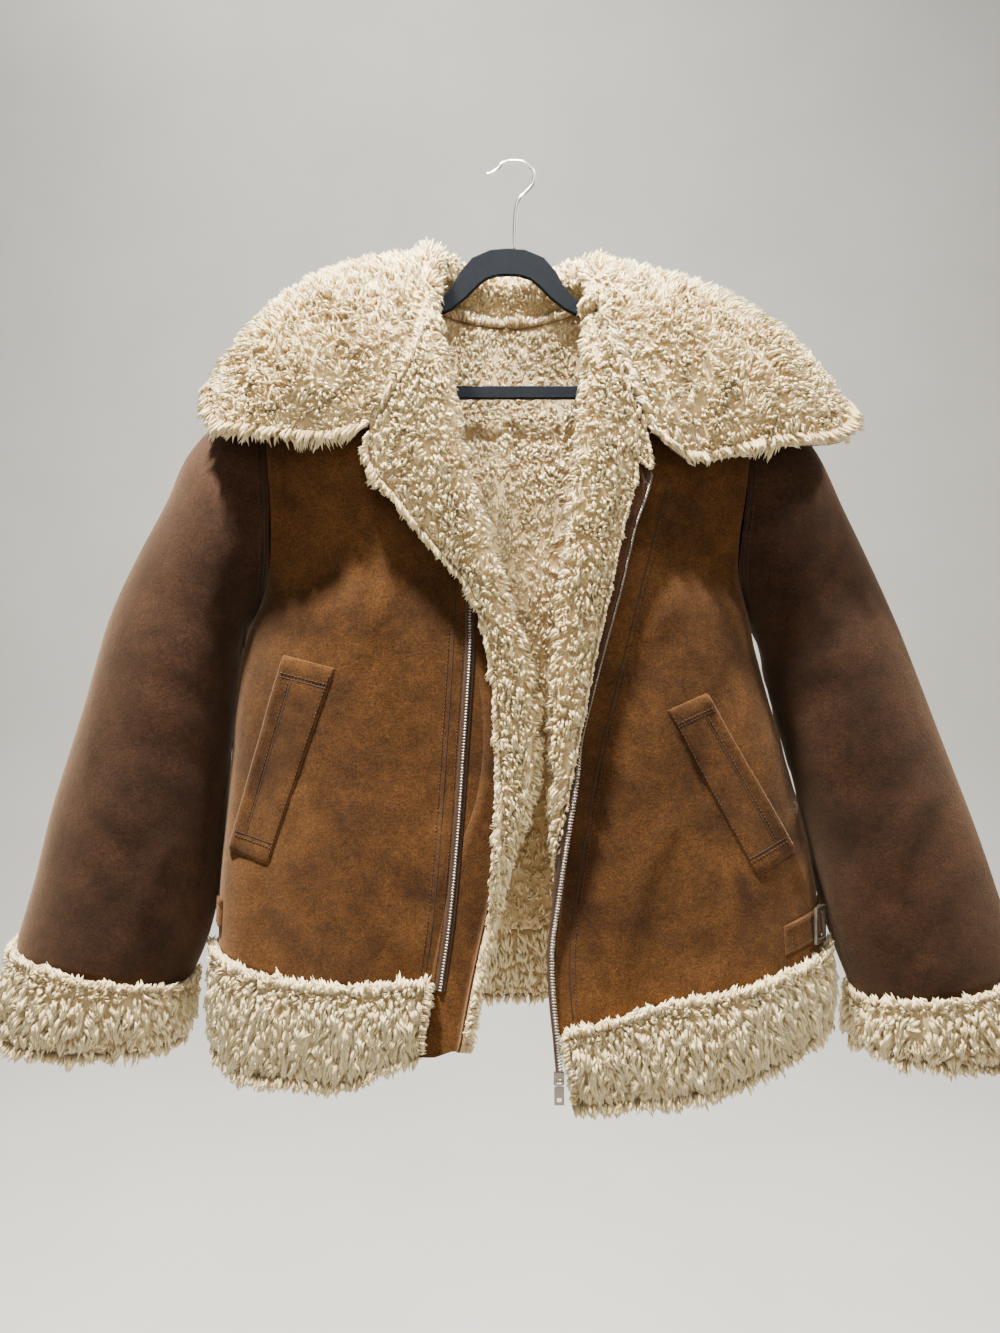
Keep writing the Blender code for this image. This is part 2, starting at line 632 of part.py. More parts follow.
def build_collar():
    left, right = collar_half(-1), collar_half(1)
    row = COLLAR_BACK
    base = back(1.0, 1.0) + np.array((0, 0, 1.3 * MM))
    middle = np.array(collar_section(base, row))
    p = np.array(left + [middle] + right[::-1])
    n = face_average(p)
    k = len(p) // 2
    if np.dot(n[k, 4], (0, 0, 1)) < 0:
        n = -n
    heights = np.array([2, 5, 9, 12, 13, 14, 16, 18, 18, 17, 13, 6.5]) * MM
    gorge = np.array([1.2, 2, 4, 7, 9, 10, 11, 13, 14, 13, 10, 5]) * MM
    t = np.array([gorge if min(i, len(p) - 1 - i) < 2 else heights for i in range(len(p))])
    wall("collar_fur", p, offset(p, n, t), "fur")
    under = p - n * GAP
    wall("collar_under", under, offset(under, n, -SUEDE), "suede")


def face_average(p):
    """Normals of a grid's points, each the mean of its faces' normals."""
    n = np.zeros_like(p)
    f = np.cross(p[1:, :-1] - p[:-1, 1:], p[1:, 1:] - p[:-1, :-1])
    f /= np.linalg.norm(f, axis=-1, keepdims=True)
    n[:-1, :-1] += f
    n[1:, :-1] += f
    n[:-1, 1:] += f
    n[1:, 1:] += f
    return n / np.linalg.norm(n, axis=-1, keepdims=True)


def corner_grid(corners, nu, nv):
    """Points x z inside four corners given as outer top, inner top, inner bottom, outer bottom."""
    a, b, c, d = (np.array(x) * MM for x in corners)
    out = []
    for i in range(nu):
        s = i / (nu - 1)
        out.append([(a + (b - a) * s) * (1 - t) + (d + (c - d) * s) * t for t in np.linspace(0, 1, nv)])
    return np.array(out)


def build_pocket(tag, corners, surface):
    g = corner_grid(corners, 5, 10)
    points = np.array([[surface.seen_from((x, -1, z), (0, 1, 0)) for x, z in line] for line in g])
    high = np.array([5.2, 5.2, 3.8, 3.6, 3.4]) * MM
    laid("pocket_" + tag, points, (0, -1, 0), 1.3 * MM, high[:, None] * np.ones(points.shape[:2]), "suede")


def build_strap(side, tag, surface, front_angle, back_angle, z_front, z_back, buckle_angle):
    """A strap laid round the side, from the front to the back."""
    angles = np.linspace(front_angle, back_angle, 15)
    points = []
    for k, a in enumerate(angles):
        z = (z_front + (z_back - z_front) * k / (len(angles) - 1)) * MM
        line = []
        for h in (-13, 0, 13):
            middle = np.array((side * 0.205, -0.028, z + h * MM))
            direction = (side * math.cos(math.radians(a)), -math.sin(math.radians(a)), 0)
            line.append(surface.seen_from(middle, direction))
        points.append(line)
    points = np.array(points)
    outward = points - np.array((side * 0.205, -0.028, -0.72))
    outward[..., 2] = 0
    laid("strap_" + tag, points, outward, 1.2 * MM, 3.2 * MM, "suede")
    k = int(np.argmin(np.abs(angles - buckle_angle)))
    out = np.cross(points[k + 1, 1] - points[k - 1, 1], (0, 0, 1))
    out *= np.sign(np.dot(out, outward[k, 1]))
    return points[k, 1], out / np.linalg.norm(out)


def build_buckle(side, tag, at, out):
    """A flat metal frame that stands over the strap."""
    along = np.cross((0, 0, 1), out)
    up = np.array((0, 0, 1))
    middle = at + out * BUCKLE_LIFT[side]
    outer, inner = (10.5 * MM, 16.5 * MM), (7.0 * MM, 13.0 * MM)
    corners = [(1, 1), (-1, 1), (-1, -1), (1, -1)]
    points, faces = [], []
    for depth in (-1.3 * MM, 1.3 * MM):
        for half in (outer, inner):
            for sx, sz in corners:
                points.append(middle + along * sx * half[0] + up * sz * half[1] + out * depth)
    for k in range(4):
        m = (k + 1) % 4
        faces += [(k, m, 4 + m, 4 + k), (8 + k, 12 + k, 12 + m, 8 + m)]
        faces += [(k, 8 + k, 8 + m, m), (4 + k, 4 + m, 12 + m, 12 + k)]
    add_mesh("buckle_" + tag, points, faces, "metal")


def build_zip_left(surface):
    table = ((-405, -33), (-474, -34.5), (-518, -37), (-571, -40.5), (-624, -44), (-676, -48.5),
             (-717, -52.5), (-762, -58.5), (-812, -64))
    points = []
    for across in (-7.5, -3.0, 1.5):
        line = []
        for z in np.linspace(-812, -408, 19):
            x = float(column(table, 1, z))
            line.append(surface.seen_from(((x + across) * MM, -1, z * MM), (0, 1, 0)))
        points.append(line)
    laid("zip_left", np.array(points), (0, -1, 0), 0.6 * MM, 2.4 * MM, "metal")


def bar_loft(name, middles, heights, look):
    """A flat bar along middle points in the plane of the hanger, with its edges cut off."""
    c = HANGER_THICK * 0.4
    rings = []
    for k, (m, h) in enumerate(zip(middles, heights)):
        a, b = middles[max(k - 1, 0)], middles[min(k + 1, len(middles) - 1)]
        d = (b - a) / np.linalg.norm(b - a)
        up = np.array((-d[2], 0, d[0]))
        y = np.array((0, 1, 0))
        shape = ((-1, -1, 0, c), (-1, -1, c, 0), (1, -1, -c, 0), (1, -1, 0, c), (1, 1, 0, -c), (1, 1, -c, 0),
                 (-1, 1, c, 0), (-1, 1, 0, -c))
        ring_points = []
        for su, sy, cu, cy in shape:
            ring_points.append(m + up * (su * h + cu) + y * (sy * HANGER_THICK + cy))
        rings.append(ring_points)
    points = [p for r in rings for p in r]
    faces = []
    for k in range(len(rings) - 1):
        for j in range(8):
            i = (j + 1) % 8
            faces.append((k * 8 + j, k * 8 + i, (k + 1) * 8 + i, (k + 1) * 8 + j))
    faces.append(tuple(range(7, -1, -1)))
    faces.append(tuple((len(rings) - 1) * 8 + j for j in range(8)))
    add_mesh(name, points, faces, look)


def build_hanger():
    rows = [(-x, z, h) for x, z, h in reversed(HANGER_ARM[1:])] + list(HANGER_ARM)
    middles = [np.array((x, 0, z)) * MM for x, z, h in rows]
    bar_loft("hanger_arms", middles, [h * MM for x, z, h in rows], "flock")
    x, z, h = HANGER_BAR
    middles = [np.array((t * x, 0, z)) * MM for t in (-1, -0.33, 0.33, 1)]
    bar_loft("hanger_bar", middles, [h * MM] * 4, "flock")
    curve = bpy.data.curves.new("hanger_hook", "CURVE")
    curve.dimensions = "3D"
    curve.bevel_depth = HOOK_WIRE
    curve.bevel_resolution = 2
    curve.use_fill_caps = True
    rows = [np.array(r, float) for r in HOOK_PATH]
    line = []
    for i in range(len(rows) - 1):
        a, b, c, d = rows[max(i - 1, 0)], rows[i], rows[i + 1], rows[min(i + 2, len(rows) - 1)]
        halfway = (9 * (b + c) - a - d) / 16
        line += [b, halfway]
    line.append(rows[-1])
    spline = curve.splines.new("POLY")
    spline.points.add(len(line) - 1)
    for k, (x, z) in enumerate(line):
        spline.points[k].co = (x * MM, 0, z * MM, 1)
    o = bpy.data.objects.new("hanger_hook", curve)
    curve.materials.append(own_material("hanger_hook", "chrome"))
    collection.objects.link(o)
    parts.append(o)


def box_points(low, high):
    return [(x, y, z) for x in (low[0], high[0]) for y in (low[1], high[1]) for z in (low[2], high[2])]


BOX_FACES = [(0, 1, 3, 2), (4, 6, 7, 5), (0, 4, 5, 1), (2, 3, 7, 6), (0, 2, 6, 4), (1, 5, 7, 3)]


def box_mesh(name, low, high):
    mesh = bpy.data.meshes.new(name)
    mesh.from_pydata(box_points(low, high), [], BOX_FACES)
    o = bpy.data.objects.new(name, mesh)
    return o


def cylinder(name, centre, radius, half, count=14):
    """A cylinder along X."""
    points = []
    for sx in (-1, 1):
        for k in range(count):
            a = 2 * math.pi * k / count
            y, z = centre[1] + radius * math.cos(a), centre[2] + radius * math.sin(a)
            points.append((centre[0] + sx * half, y, z))
    faces = [tuple(range(count)), tuple(range(2 * count - 1, count - 1, -1))]
    for k in range(count):
        m = (k + 1) % count
        faces.append((k, count + k, count + m, m))
    mesh = bpy.data.meshes.new(name)
    mesh.from_pydata(points, [], faces)
    return bpy.data.objects.new(name, mesh)


def join_or_cut(target, tool, operation):
    tool.hide_render = True
    tool.display_type = "WIRE"
    cutters.objects.link(tool)
    turn_outward(tool)
    m = target.modifiers.new(tool.name, "BOOLEAN")
    m.operation = operation
    m.solver = "EXACT"
    m.object = tool


def build_slider_and_pull():
    pin = np.array(PULL_PIN)

    def block(name, low, high):
        """A box whose corners are given in mm from the pin."""
        return box_mesh(name, pin + np.array(low) * MM, pin + np.array(high) * MM)

    slider = block("zip_slider", (-4.5, 2.1, -1.5), (4.5, 6.2, 8.5))
    slider.data.materials.append(own_material("zip_slider", "metal"))
    collection.objects.link(slider)
    turn_outward(slider)
    join_or_cut(slider, block("slider_lug_a", (-3.4, -1.4, -1.3), (-2.4, 2.6, 1.3)), "UNION")
    join_or_cut(slider, block("slider_lug_b", (2.4, -1.4, -1.3), (3.4, 2.6, 1.3)), "UNION")
    join_or_cut(slider, cylinder("slider_pin", PULL_PIN, 0.7 * MM, 2.9 * MM), "UNION")
    parts.append(slider)
    pull = cylinder("zip_pull", (0, 0, 0), 1.75 * MM, 1.9 * MM)
    pull.location = PULL_PIN
    pull.data.materials.append(own_material("zip_pull", "metal"))
    collection.objects.link(pull)
    turn_outward(pull)
    bpy.context.view_layer.update()
    join_or_cut(pull, block("pull_plate", (-4.2, -0.7, -17.5), (4.2, 0.7, -2.4)), "UNION")
    join_or_cut(pull, block("pull_neck", (-1.6, -0.65, -3.0), (1.6, 0.65, -1.2)), "UNION")
    join_or_cut(pull, cylinder("pull_eye", PULL_PIN, 1.0 * MM, 3.0 * MM), "DIFFERENCE")
    join_or_cut(pull, block("pull_slot", (-2.0, -2.0, -15.4), (2.0, 2.0, -11.4)), "DIFFERENCE")
    parts.append(pull)


cutters = bpy.data.collections.new("cutters")
bpy.context.scene.collection.children.link(cutters)

outer_left = build_front(-1)
outer_right = build_front(1)
outer_back = build_back()
build_hems()
build_sleeve(-1, "left")
build_sleeve(1, "right")
build_collar()
left_surface = Surface(outer_left[:13])
right_surface = Surface(outer_right[:13])
build_pocket("left", LEFT_POCKET, left_surface)
build_pocket("right", RIGHT_POCKET, right_surface)
build_zip_left(left_surface)
around_left = Surface(outer_left[:13, 2:], outer_back[:12])
around_right = Surface(outer_right[:13, 2:], outer_back[11:])
buckle_left = build_strap(-1, "left", around_left, 22, -48, -716, -712, -28)
buckle_right = build_strap(1, "right", around_right, 52, -40, -733, -706, 16)
build_buckle(-1, "left", *buckle_left)
build_buckle(1, "right", *buckle_right)
build_hanger()
build_slider_and_pull()
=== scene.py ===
"""Looks of the shearling jacket on its hanger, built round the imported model.

Metres, +X right, +Y away from the viewer, +Z up, the origin is the top of the hook's inside.
Left and right are the viewer's. The cloth follows the same tables as the solids do.
"""

import math

import bpy
import numpy as np
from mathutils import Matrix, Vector
from mathutils.bvhtree import BVHTree
from mathutils.kdtree import KDTree


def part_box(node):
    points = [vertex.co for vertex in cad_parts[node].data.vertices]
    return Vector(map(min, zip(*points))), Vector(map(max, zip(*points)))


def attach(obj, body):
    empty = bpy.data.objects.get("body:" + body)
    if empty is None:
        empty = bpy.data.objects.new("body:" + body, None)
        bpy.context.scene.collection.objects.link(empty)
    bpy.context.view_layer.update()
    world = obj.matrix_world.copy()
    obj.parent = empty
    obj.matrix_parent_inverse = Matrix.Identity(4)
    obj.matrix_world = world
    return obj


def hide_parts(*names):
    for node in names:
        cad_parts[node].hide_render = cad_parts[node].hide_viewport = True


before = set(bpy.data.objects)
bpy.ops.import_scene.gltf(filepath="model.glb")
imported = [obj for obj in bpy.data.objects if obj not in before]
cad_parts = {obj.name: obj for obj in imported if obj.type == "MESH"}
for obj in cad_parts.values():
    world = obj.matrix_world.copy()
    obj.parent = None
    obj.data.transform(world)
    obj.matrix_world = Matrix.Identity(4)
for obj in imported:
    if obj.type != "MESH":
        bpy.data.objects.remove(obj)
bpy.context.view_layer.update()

MM = 0.001
GAP = 0.3 * MM
SUEDE = 1.8 * MM
PILE = 13.0 * MM
PILE_SHOULDER = 7.5 * MM
FOLD_RADIUS = 6.0 * MM
SHOULDER_Y = -1 * MM
SIDE_Y = -20 * MM
SHOULDER_Z = -204 * MM
SHOULDER_SLOPE = 0.56
ARMHOLE_HIGH = 228 * MM
ARMHOLE_DEEP = 58 * MM
SHOULDER_ROUND = 120 * MM
SIDE_POWER = 2.4
FRONT_HALF = 142.5 * MM
BACK_HALF = 228.5 * MM
NECK_SHARE = 0.93
NECK_SHARE_BACK = 0.58
GORGE_Z = {-1: -190 * MM, 1: -170 * MM}
LAPEL_TOP_Z = {-1: -281 * MM, 1: -284 * MM}
BACK_NECK_Z = -150 * MM
COLLAR_FOLD = 6.5 * MM
COLLAR_LEAF = (0.18, 0.4, 0.64, 0.86, 1.0)

# The photograph's camera: 1000 pixels of focal length, level, looking along +Y.
CAMERA = (-0.0078, -0.97, -0.4884)
FOCAL_PX = 1000.0
IMAGE = (1000.0, 1333.0)
SENSOR = 36.0

# Columns: height, seam or side of the body seen from the front.
LEFT_SIDE = ((-204, -225.5), (-270, -222), (-370, -218), (-402, -223), (-430, -235),
             (-470, -250), (-520, -258), (-577, -262), (-634, -267), (-690, -272), (-760, -273), (-860, -272))
RIGHT_SIDE = ((-204, 225.5), (-270, 222), (-330, 216), (-370, 212), (-402, 214), (-430, 224),
              (-470, 233), (-520, 246), (-565, 260), (-606, 270), (-663, 284), (-710, 292), (-760, 297),
              (-860, 296))
# Columns: height, place of the fold, place of the free edge, turn of the fold in degrees.
LEFT_EDGE = ((-150, -82, -100, 180), (-190, -76, -108, 180), (-235, -65, -119, 180), (-280, -57, -120, 180),
             (-310, -51, -119, 180), (-345, -41, -93, 180), (-389, -27, -58, 180), (-418, -18, -33, 180),
             (-447, -8.5, -22, 180), (-518, 10.4, -9, 178), (-545, 12.5, -8.5, 174), (-580, 10.8, -9.5, 165),
             (-610, 4.7, -13, 150), (-650, -10.7, -24, 120), (-695, -22.5, -26, 95), (-760, -37.5, -39, 85),
             (-830, -50.5, -52, 75))
RIGHT_EDGE = ((-150, 88, 104, 180), (-170, 84, 106, 180), (-235, 80, 112, 180), (-284, 74.5, 118, 180),
              (-317, 72, 121, 180), (-366, 66.5, 107, 180), (-420, 58.7, 94, 180), (-472, 54.6, 80, 180),
              (-525, 51.5, 67, 178), (-583, 51.5, 54.5, 170), (-610, 51.5, 53.5, 150),
              (-640, 52.3, 52.7, 120), (-670, 51, 51.2, 85), (-695, 49, 49.2, 55), (-735, 43.9, 44.1, 30),
              (-790, 43.8, 44, 20), (-850, 47, 47.2, 20))
# Columns: height, front most surface, back most surface.
DEPTH = ((-110, -46, 40), (-190, -64, 44), (-260, -76, 45), (-340, -84, 46), (-450, -89, 47), (-600, -95, 46),
         (-700, -101, 45), (-760, -105, 45), (-860, -112, 46))
# Columns: share of the way from the side to the fold, lower edge of the suede, lower edge of the fur band.
LEFT_HEM = ((0, -748, -836), (0.12, -756, -845), (0.35, -765, -846), (0.6, -764, -842), (0.8, -762, -822),
            (1, -762, -820))
RIGHT_HEM = ((0, -750, -812), (0.15, -757, -826), (0.35, -770, -842), (0.6, -780, -856), (0.85, -796, -860),
             (1, -806, -860))
BACK_HEM = ((0, -748, -836), (0.5, -752, -822), (1, -752, -818), (1.5, -752, -816), (2, -750, -812))
# Columns: outer point x z, inner point x z, half of the depth.
LEFT_SLEEVE = ((-258, -232, -249.5, -452, 58), (-302, -283, -256, -476, 57), (-323, -331, -261, -515, 56),
               (-350, -387, -264, -550, 56), (-374, -444, -267.5, -592, 56), (-402, -539, -272, -655, 57),
               (-426, -615, -277, -700, 58), (-445, -691, -287, -745, 59), (-461, -748, -303, -783, 60))
RIGHT_SLEEVE = ((250, -232, 234, -452, 58), (291, -280, 242, -478, 57), (317, -339, 251.5, -522, 56),
                (346, -406, 264, -563, 56), (374, -473, 275.5, -610, 56), (403, -549, 288, -660, 57),
                (432, -625, 299.5, -712, 58), (456, -693, 312, -752, 59), (480, -768, 330, -797, 60))
LEFT_CUFF = ((-461, -748, -303, -783, 60), (-467, -786, -308, -812, 61), (-473, -826, -313, -834, 60))
RIGHT_CUFF = ((480, -768, 330, -797, 60), (488, -806, 331, -822, 61), (494, -842, 333, -838, 60))
# Columns: ridge x y z, free edge x y z, rise between them, level direction in degrees in which it folds.
LEFT_COLLAR = ((-67, -59, -178, -124, -92, -278, 2, -90), (-70, -53, -161, -166, -95, -289, 6, -92),
               (-72.5, -44, -144, -228, -91, -285, 12, -105), (-75, -31, -126, -262, -74, -279, 20, -125),
               (-77, -16, -107, -279, -37, -240, 28, -152), (-73, -1, -96, -276, 3, -218, 32, -185),
               (-61, 13, -94, -246, 44, -238, 30, -225), (-38, 26, -105, -160, 72, -254, 16, -250))
RIGHT_COLLAR = ((75, -56, -156, 123, -94, -280, 2, -90), (77, -50, -146, 163, -96, -309, 6, -88),
                (80, -41, -135, 232, -92, -296, 12, -75), (83, -29, -124, 298, -74, -287, 20, -55),
                (84, -15, -114, 318, -38, -258, 28, -28), (80, -1, -107, 307, 3, -238, 32, 5),
                (67, 13, -103, 266, 44, -252, 30, 45), (42, 26, -108, 172, 72, -264, 16, 70))
COLLAR_BACK = (2, 30, -113, 4, 84, -252, 6, 90)
COLLAR_PILE = (2, 5, 9, 12, 13, 14, 16, 18, 18, 17, 13, 6.5)
GORGE_PILE = (1.2, 2, 4, 7, 9, 10, 11, 13, 14, 13, 10, 5)
LEFT_POCKET = ((-202, -478), (-154, -490), (-215, -666), (-255, -656))
RIGHT_POCKET = ((176, -512), (139, -527), (219, -675), (259, -656))
HOOK_PATH = ((-22, -10), (-16.5, -10.3), (-10.5, -6.2), (-6, -0.8), (0.5, 1.9), (7, 2.1), (13.5, 1.3),
             (19, -1.8), (23.4, -6.5), (25.2, -13), (23.2, -21.5), (16.8, -29), (10, -36), (7.5, -45),
             (6.5, -56), (6, -68), (5.8, -83.5))
HOOK_WIRE = 1.7 * MM
FLAP_FROM = 0.87            # share of the left front's width at which the flap and its fur begin
COLLAR_COVERS_Z = -0.316    # the fur hides the right zip and its facing above this
TOOTH_PITCH = 2.6 * MM
TOOTH_WIDE = 1.55
LINE_STEP_PX = 1.6 / 0.88   # distance between the points of a laid line, 1.6 mm where a pixel is 0.88 mm
STRAP_HALF = 13.0           # half of a strap's width in mm
STRAP_HEART = (0.205, -0.028)   # place inside each side, x as a distance, that its strap goes round
LOCK_PILE = 9 * MM          # locks on a lower pile than this are drawn smaller


# ---- shapes shared with the solids

def hermite(xs, ys, at):
    """Smooth curve through rows ys at xs."""
    xs, ys, at = np.asarray(xs, float), np.asarray(ys, float), np.asarray(at, float)
    slope = np.gradient(ys, xs, axis=0)
    at = np.clip(at, xs[0], xs[-1])
    i = np.clip(np.searchsorted(xs, at, side="right") - 1, 0, len(xs) - 2)
    w = xs[i + 1] - xs[i]
    t = (at - xs[i]) / w
    more = (...,) + (None,) * (ys.ndim - 1)
    t, w = t[more], w[more]
    h = (1 + 2 * t) * (1 - t) ** 2 * ys[i] + t * (1 - t) ** 2 * w * slope[i]
    return h + t * t * (3 - 2 * t) * ys[i + 1] + t * t * (t - 1) * w * slope[i + 1]


def column(table, k, at):
    rows = sorted(table)
    return hermite([r[0] for r in rows], [r[k] for r in rows], at)


def ease(a, b, x):
    t = np.clip((x - a) / (b - a), 0, 1)
    return t * t * (3 - 2 * t)


def side_x(side, z):
    return column(LEFT_SIDE if side < 0 else RIGHT_SIDE, 1, z / MM) * MM


def body_x(side, z):
    clear = 0.6 * MM + 1.9 * MM * ease(-0.29, -0.39, z)
    return side_x(side, z) - side * clear


def side_y(z):
    return SHOULDER_Y + (SIDE_Y - SHOULDER_Y) * ease(-0.24, -0.46, z)


def armhole_half(below):
    half = ARMHOLE_HIGH / 2
    t = np.clip((below - half) / half, -1, 1)
    return ARMHOLE_DEEP * (1 - t * t) ** (0.5 + 0.6 * np.clip(t, 0, 1))


def folds(side, across, q, z, facing):
    low = ease(-0.42, -0.6, z)
    if facing < 0:
        wave = 4.0 * np.cos(2 * math.pi * (1.5 * q + 2.2 * z + 0.2 * side)) * low
        chest = 5.0 * np.exp(-((q - 0.45) / 0.2) ** 2 - ((z + 0.33) / 0.07) ** 2)
        return (wave * np.clip(q * 4, 0, 1) * np.clip((1 - q) * 4, 0, 1) + chest) * MM
    return 3.5 * MM * np.cos(2 * math.pi * (1.4 * across + 1.1 * z)) * np.clip(q * 3, 0, 1) * low


def profile(side, across, q, z, below, facing):
    power = 1 / SIDE_POWER + (1 - 1 / SIDE_POWER) * ease(-0.445, -0.36, z)
    out = (1 - (1 - np.clip(q, 0, 1)) ** SIDE_POWER) ** power
    arm = armhole_half(below)
    rise = np.sqrt(np.clip(1 - (1 - np.clip(below / SHOULDER_ROUND, 0, 1)) ** 2, 0, 1))
    deep = np.abs(column(DEPTH, 1 if facing < 0 else 2, z / MM) * MM - side_y(z))
    fold = folds(side, across, q, z, facing)
    return side_y(z) + facing * (arm * (1 - out) + (deep + fold) * rise * out) + facing * 0.25 * MM


def shoulder(x_from_side):
    return SHOULDER_Z + SHOULDER_SLOPE * x_from_side


def front_top(side, q):
    neck = shoulder(FRONT_HALF * NECK_SHARE)
    down = np.clip((q - NECK_SHARE) / (1 - NECK_SHARE), 0, 1)
    return np.where(q < NECK_SHARE, shoulder(FRONT_HALF * q), neck + (GORGE_Z[side] - neck) * down)


def hem(side, q, k):
    return column(LEFT_HEM if side < 0 else RIGHT_HEM, k, q) * MM


def edge(side, z, k):
    return column(LEFT_EDGE if side < 0 else RIGHT_EDGE, k, z / MM) * (MM if k < 3 else 1)


def front(side, u, s):
    """u runs 0 to 1 from the side to the fold, to 2 round it and to 3 over the lapel."""
    u, s = np.broadcast_arrays(np.asarray(u, float), np.asarray(s, float))
    q = np.minimum(u, 1.0)
    bottom, top = hem(side, q, 1), front_top(side, q)
    top = np.where(u > 2, GORGE_Z[side] + (LAPEL_TOP_Z[side] - GORGE_Z[side]) * (u - 2), top)
    z = bottom + (top - bottom) * s
    start, stop = body_x(side, z), edge(side, z, 1)
    y = profile(side, q, q, z, shoulder(FRONT_HALF * q) - z, -1)
    x = start + (stop - start) * q
    turn = np.radians(edge(side, z, 3))
    a = turn * np.clip(u - 1, 0, 1)
    x = np.where(u > 1, stop - side * FOLD_RADIUS * np.sin(a), x)
    y = np.where(u > 1, y - FOLD_RADIUS * (1 - np.cos(a)), y)
    reach = (np.abs(stop - edge(side, z, 2)) + 2 * MM) * np.clip(u - 2, 0, 1)
    return np.stack((x - side * reach * np.cos(turn), y - reach * np.sin(turn), z), axis=-1)


def back(u, s):
    """u runs 0 to 2 from the left to the right side."""
    u, s = np.broadcast_arrays(np.asarray(u, float), np.asarray(s, float))
    q = np.where(u <= 1, u, 2 - u)
    bottom = column(BACK_HEM, 1, u) * MM
    neck = shoulder(BACK_HALF * NECK_SHARE_BACK)
    t = np.clip((q - NECK_SHARE_BACK) / (1 - NECK_SHARE_BACK), 0, 1)
    top = np.where(q < NECK_SHARE_BACK, shoulder(BACK_HALF * q),
                   neck + (BACK_NECK_Z - neck) * np.sin(t * math.pi / 2))
    z = bottom + (top - bottom) * s
    left, right = body_x(-1, z), body_x(1, z)
    start = np.where(u <= 1, left, right)
    y = profile(1, u, q, z, shoulder(BACK_HALF * q) - z, 1)
    return np.stack((start + ((left + right) / 2 - start) * q, y, z), axis=-1)


def front_at(side, u, z):
    bottom, top = hem(side, np.minimum(u, 1.0), 1), front_top(side, np.minimum(u, 1.0))
    return front(side, u, (z - bottom) / (top - bottom))


def back_at(u, z):
    bottom, one = column(BACK_HEM, 1, u) * MM, back(u, 1.0)[..., 2]
    return back(u, (z - bottom) / (one - bottom))


def ring_surface(table, angle, t):
    """A sleeve or cuff. t counts the table's rows."""
    xo, zo, xi, zi, deep = (hermite(range(len(table)), [r[k] * MM for r in table], t) for k in range(5))
    c, sn = (1 + np.cos(angle)) / 2, np.sin(angle)
    x, z = xi + (xo - xi) * c, zi + (zo - zi) * c
    y = side_y(zi) + (side_y(zo) - side_y(zi)) * c
    return np.stack(np.broadcast_arrays(x, y - deep * sn, z), axis=-1)


def sleeve(side, angle, t):
    """t runs from -1 at the armhole over 0, the first row, to the last row."""
    angle, t = np.broadcast_arrays(np.asarray(angle, float), np.asarray(t, float))
    half = ARMHOLE_HIGH / 2
    z = SHOULDER_Z - half + half * np.cos(angle)
    deep = armhole_half(SHOULDER_Z - z)
    y = side_y(z) - np.sign(np.sin(angle)) * deep
    first = np.stack((side_x(side, z) + side * GAP, y, z), axis=-1)
    rest = ring_surface(LEFT_SLEEVE if side < 0 else RIGHT_SLEEVE, angle, np.clip(t, 0, None))
    share = np.clip(t + 1, 0, 1)[..., None]
    return first + (rest - first) * share


def collar_section(base, row):
    ridge, edge_point = np.array(row[:3]) * MM, np.array(row[3:6]) * MM
    rise, angle = row[6] * MM, math.radians(row[7])
    out = np.array((math.cos(angle), math.sin(angle), 0))
    up = (ridge - base) - out * np.dot(ridge - base, out)
    up /= np.linalg.norm(up)
    middle = ridge - up * COLLAR_FOLD
    points = [base, base + (middle - out * COLLAR_FOLD - base) * 0.5]
    for a in (0, 45, 90, 135, 180):
        r = math.radians(a)
        points.append(middle + COLLAR_FOLD * (math.sin(r) * up - math.cos(r) * out))
    start = points[-1]
    leaf = edge_point - start
    lift = out - leaf * np.dot(out, leaf) / np.dot(leaf, leaf)
    lift /= np.linalg.norm(lift)
    for t in COLLAR_LEAF:
        points.append(start + leaf * t + lift * rise * math.sin(math.pi * t))
    return np.array(points)


def collar_sections():
    halves = []
    for side, table in ((-1, LEFT_COLLAR), (1, RIGHT_COLLAR)):
        first = (-1, 0.992 if side < 0 else 0.983)
        second = (-1, 0.975 if side < 0 else 0.97)
        shares = (first, second, (-1, 0.96), (-1, 0.947), (-1, 0.935), (1, 0.62), (1, 0.76), (1, 0.88))
        half = []
        for row, (facing, q) in zip(table, shares):
            if facing < 0:
                base = front(side, q, 1.0) + np.array((-side * 0.6 * MM, 0, 1.6 * MM))
            else:
                base = back(q if side < 0 else 2 - q, 1.0) + np.array((0, 0, 1.3 * MM))
            half.append(collar_section(base, row))
        halves.append(half)
    middle = collar_section(back(1.0, 1.0) + np.array((0, 0, 1.3 * MM)), COLLAR_BACK)
    return np.array(halves[0] + [middle] + halves[1][::-1])


def pile_of(share, z, full):
    t = full + (PILE_SHOULDER - full) * ease(-0.34, -0.235, z) * (share < 0.96)
    arm = ease(-0.50, -0.44, z) * ease(-0.25, -0.32, z) * ease(0.4, 0.12, share)
    return t * (1 - 0.95 * arm)


# ---- mesh making

def unit(v):
    return v / np.maximum(np.linalg.norm(v, axis=-1, keepdims=True), 1e-12)


def turned(n, way):
    """The normals, or their opposites where those agree better with a direction."""
    return n if (n * np.asarray(way)).sum() > 0 else -n


def smoothed(a, times=1, axis=0):
    """Rows averaged with their neighbours. The first and the last stay."""
    a = np.swapaxes(a.copy(), 0, axis)
    for _ in range(times):
        a[1:-1] = (a[:-2] + 2 * a[1:-1] + a[2:]) / 4
    return np.swapaxes(a, 0, axis)


def between(at, run, rows):
    """Rows of three numbers read between their places along a run."""
    return np.stack([np.interp(at, run, rows[:, c]) for c in range(3)], axis=-1)


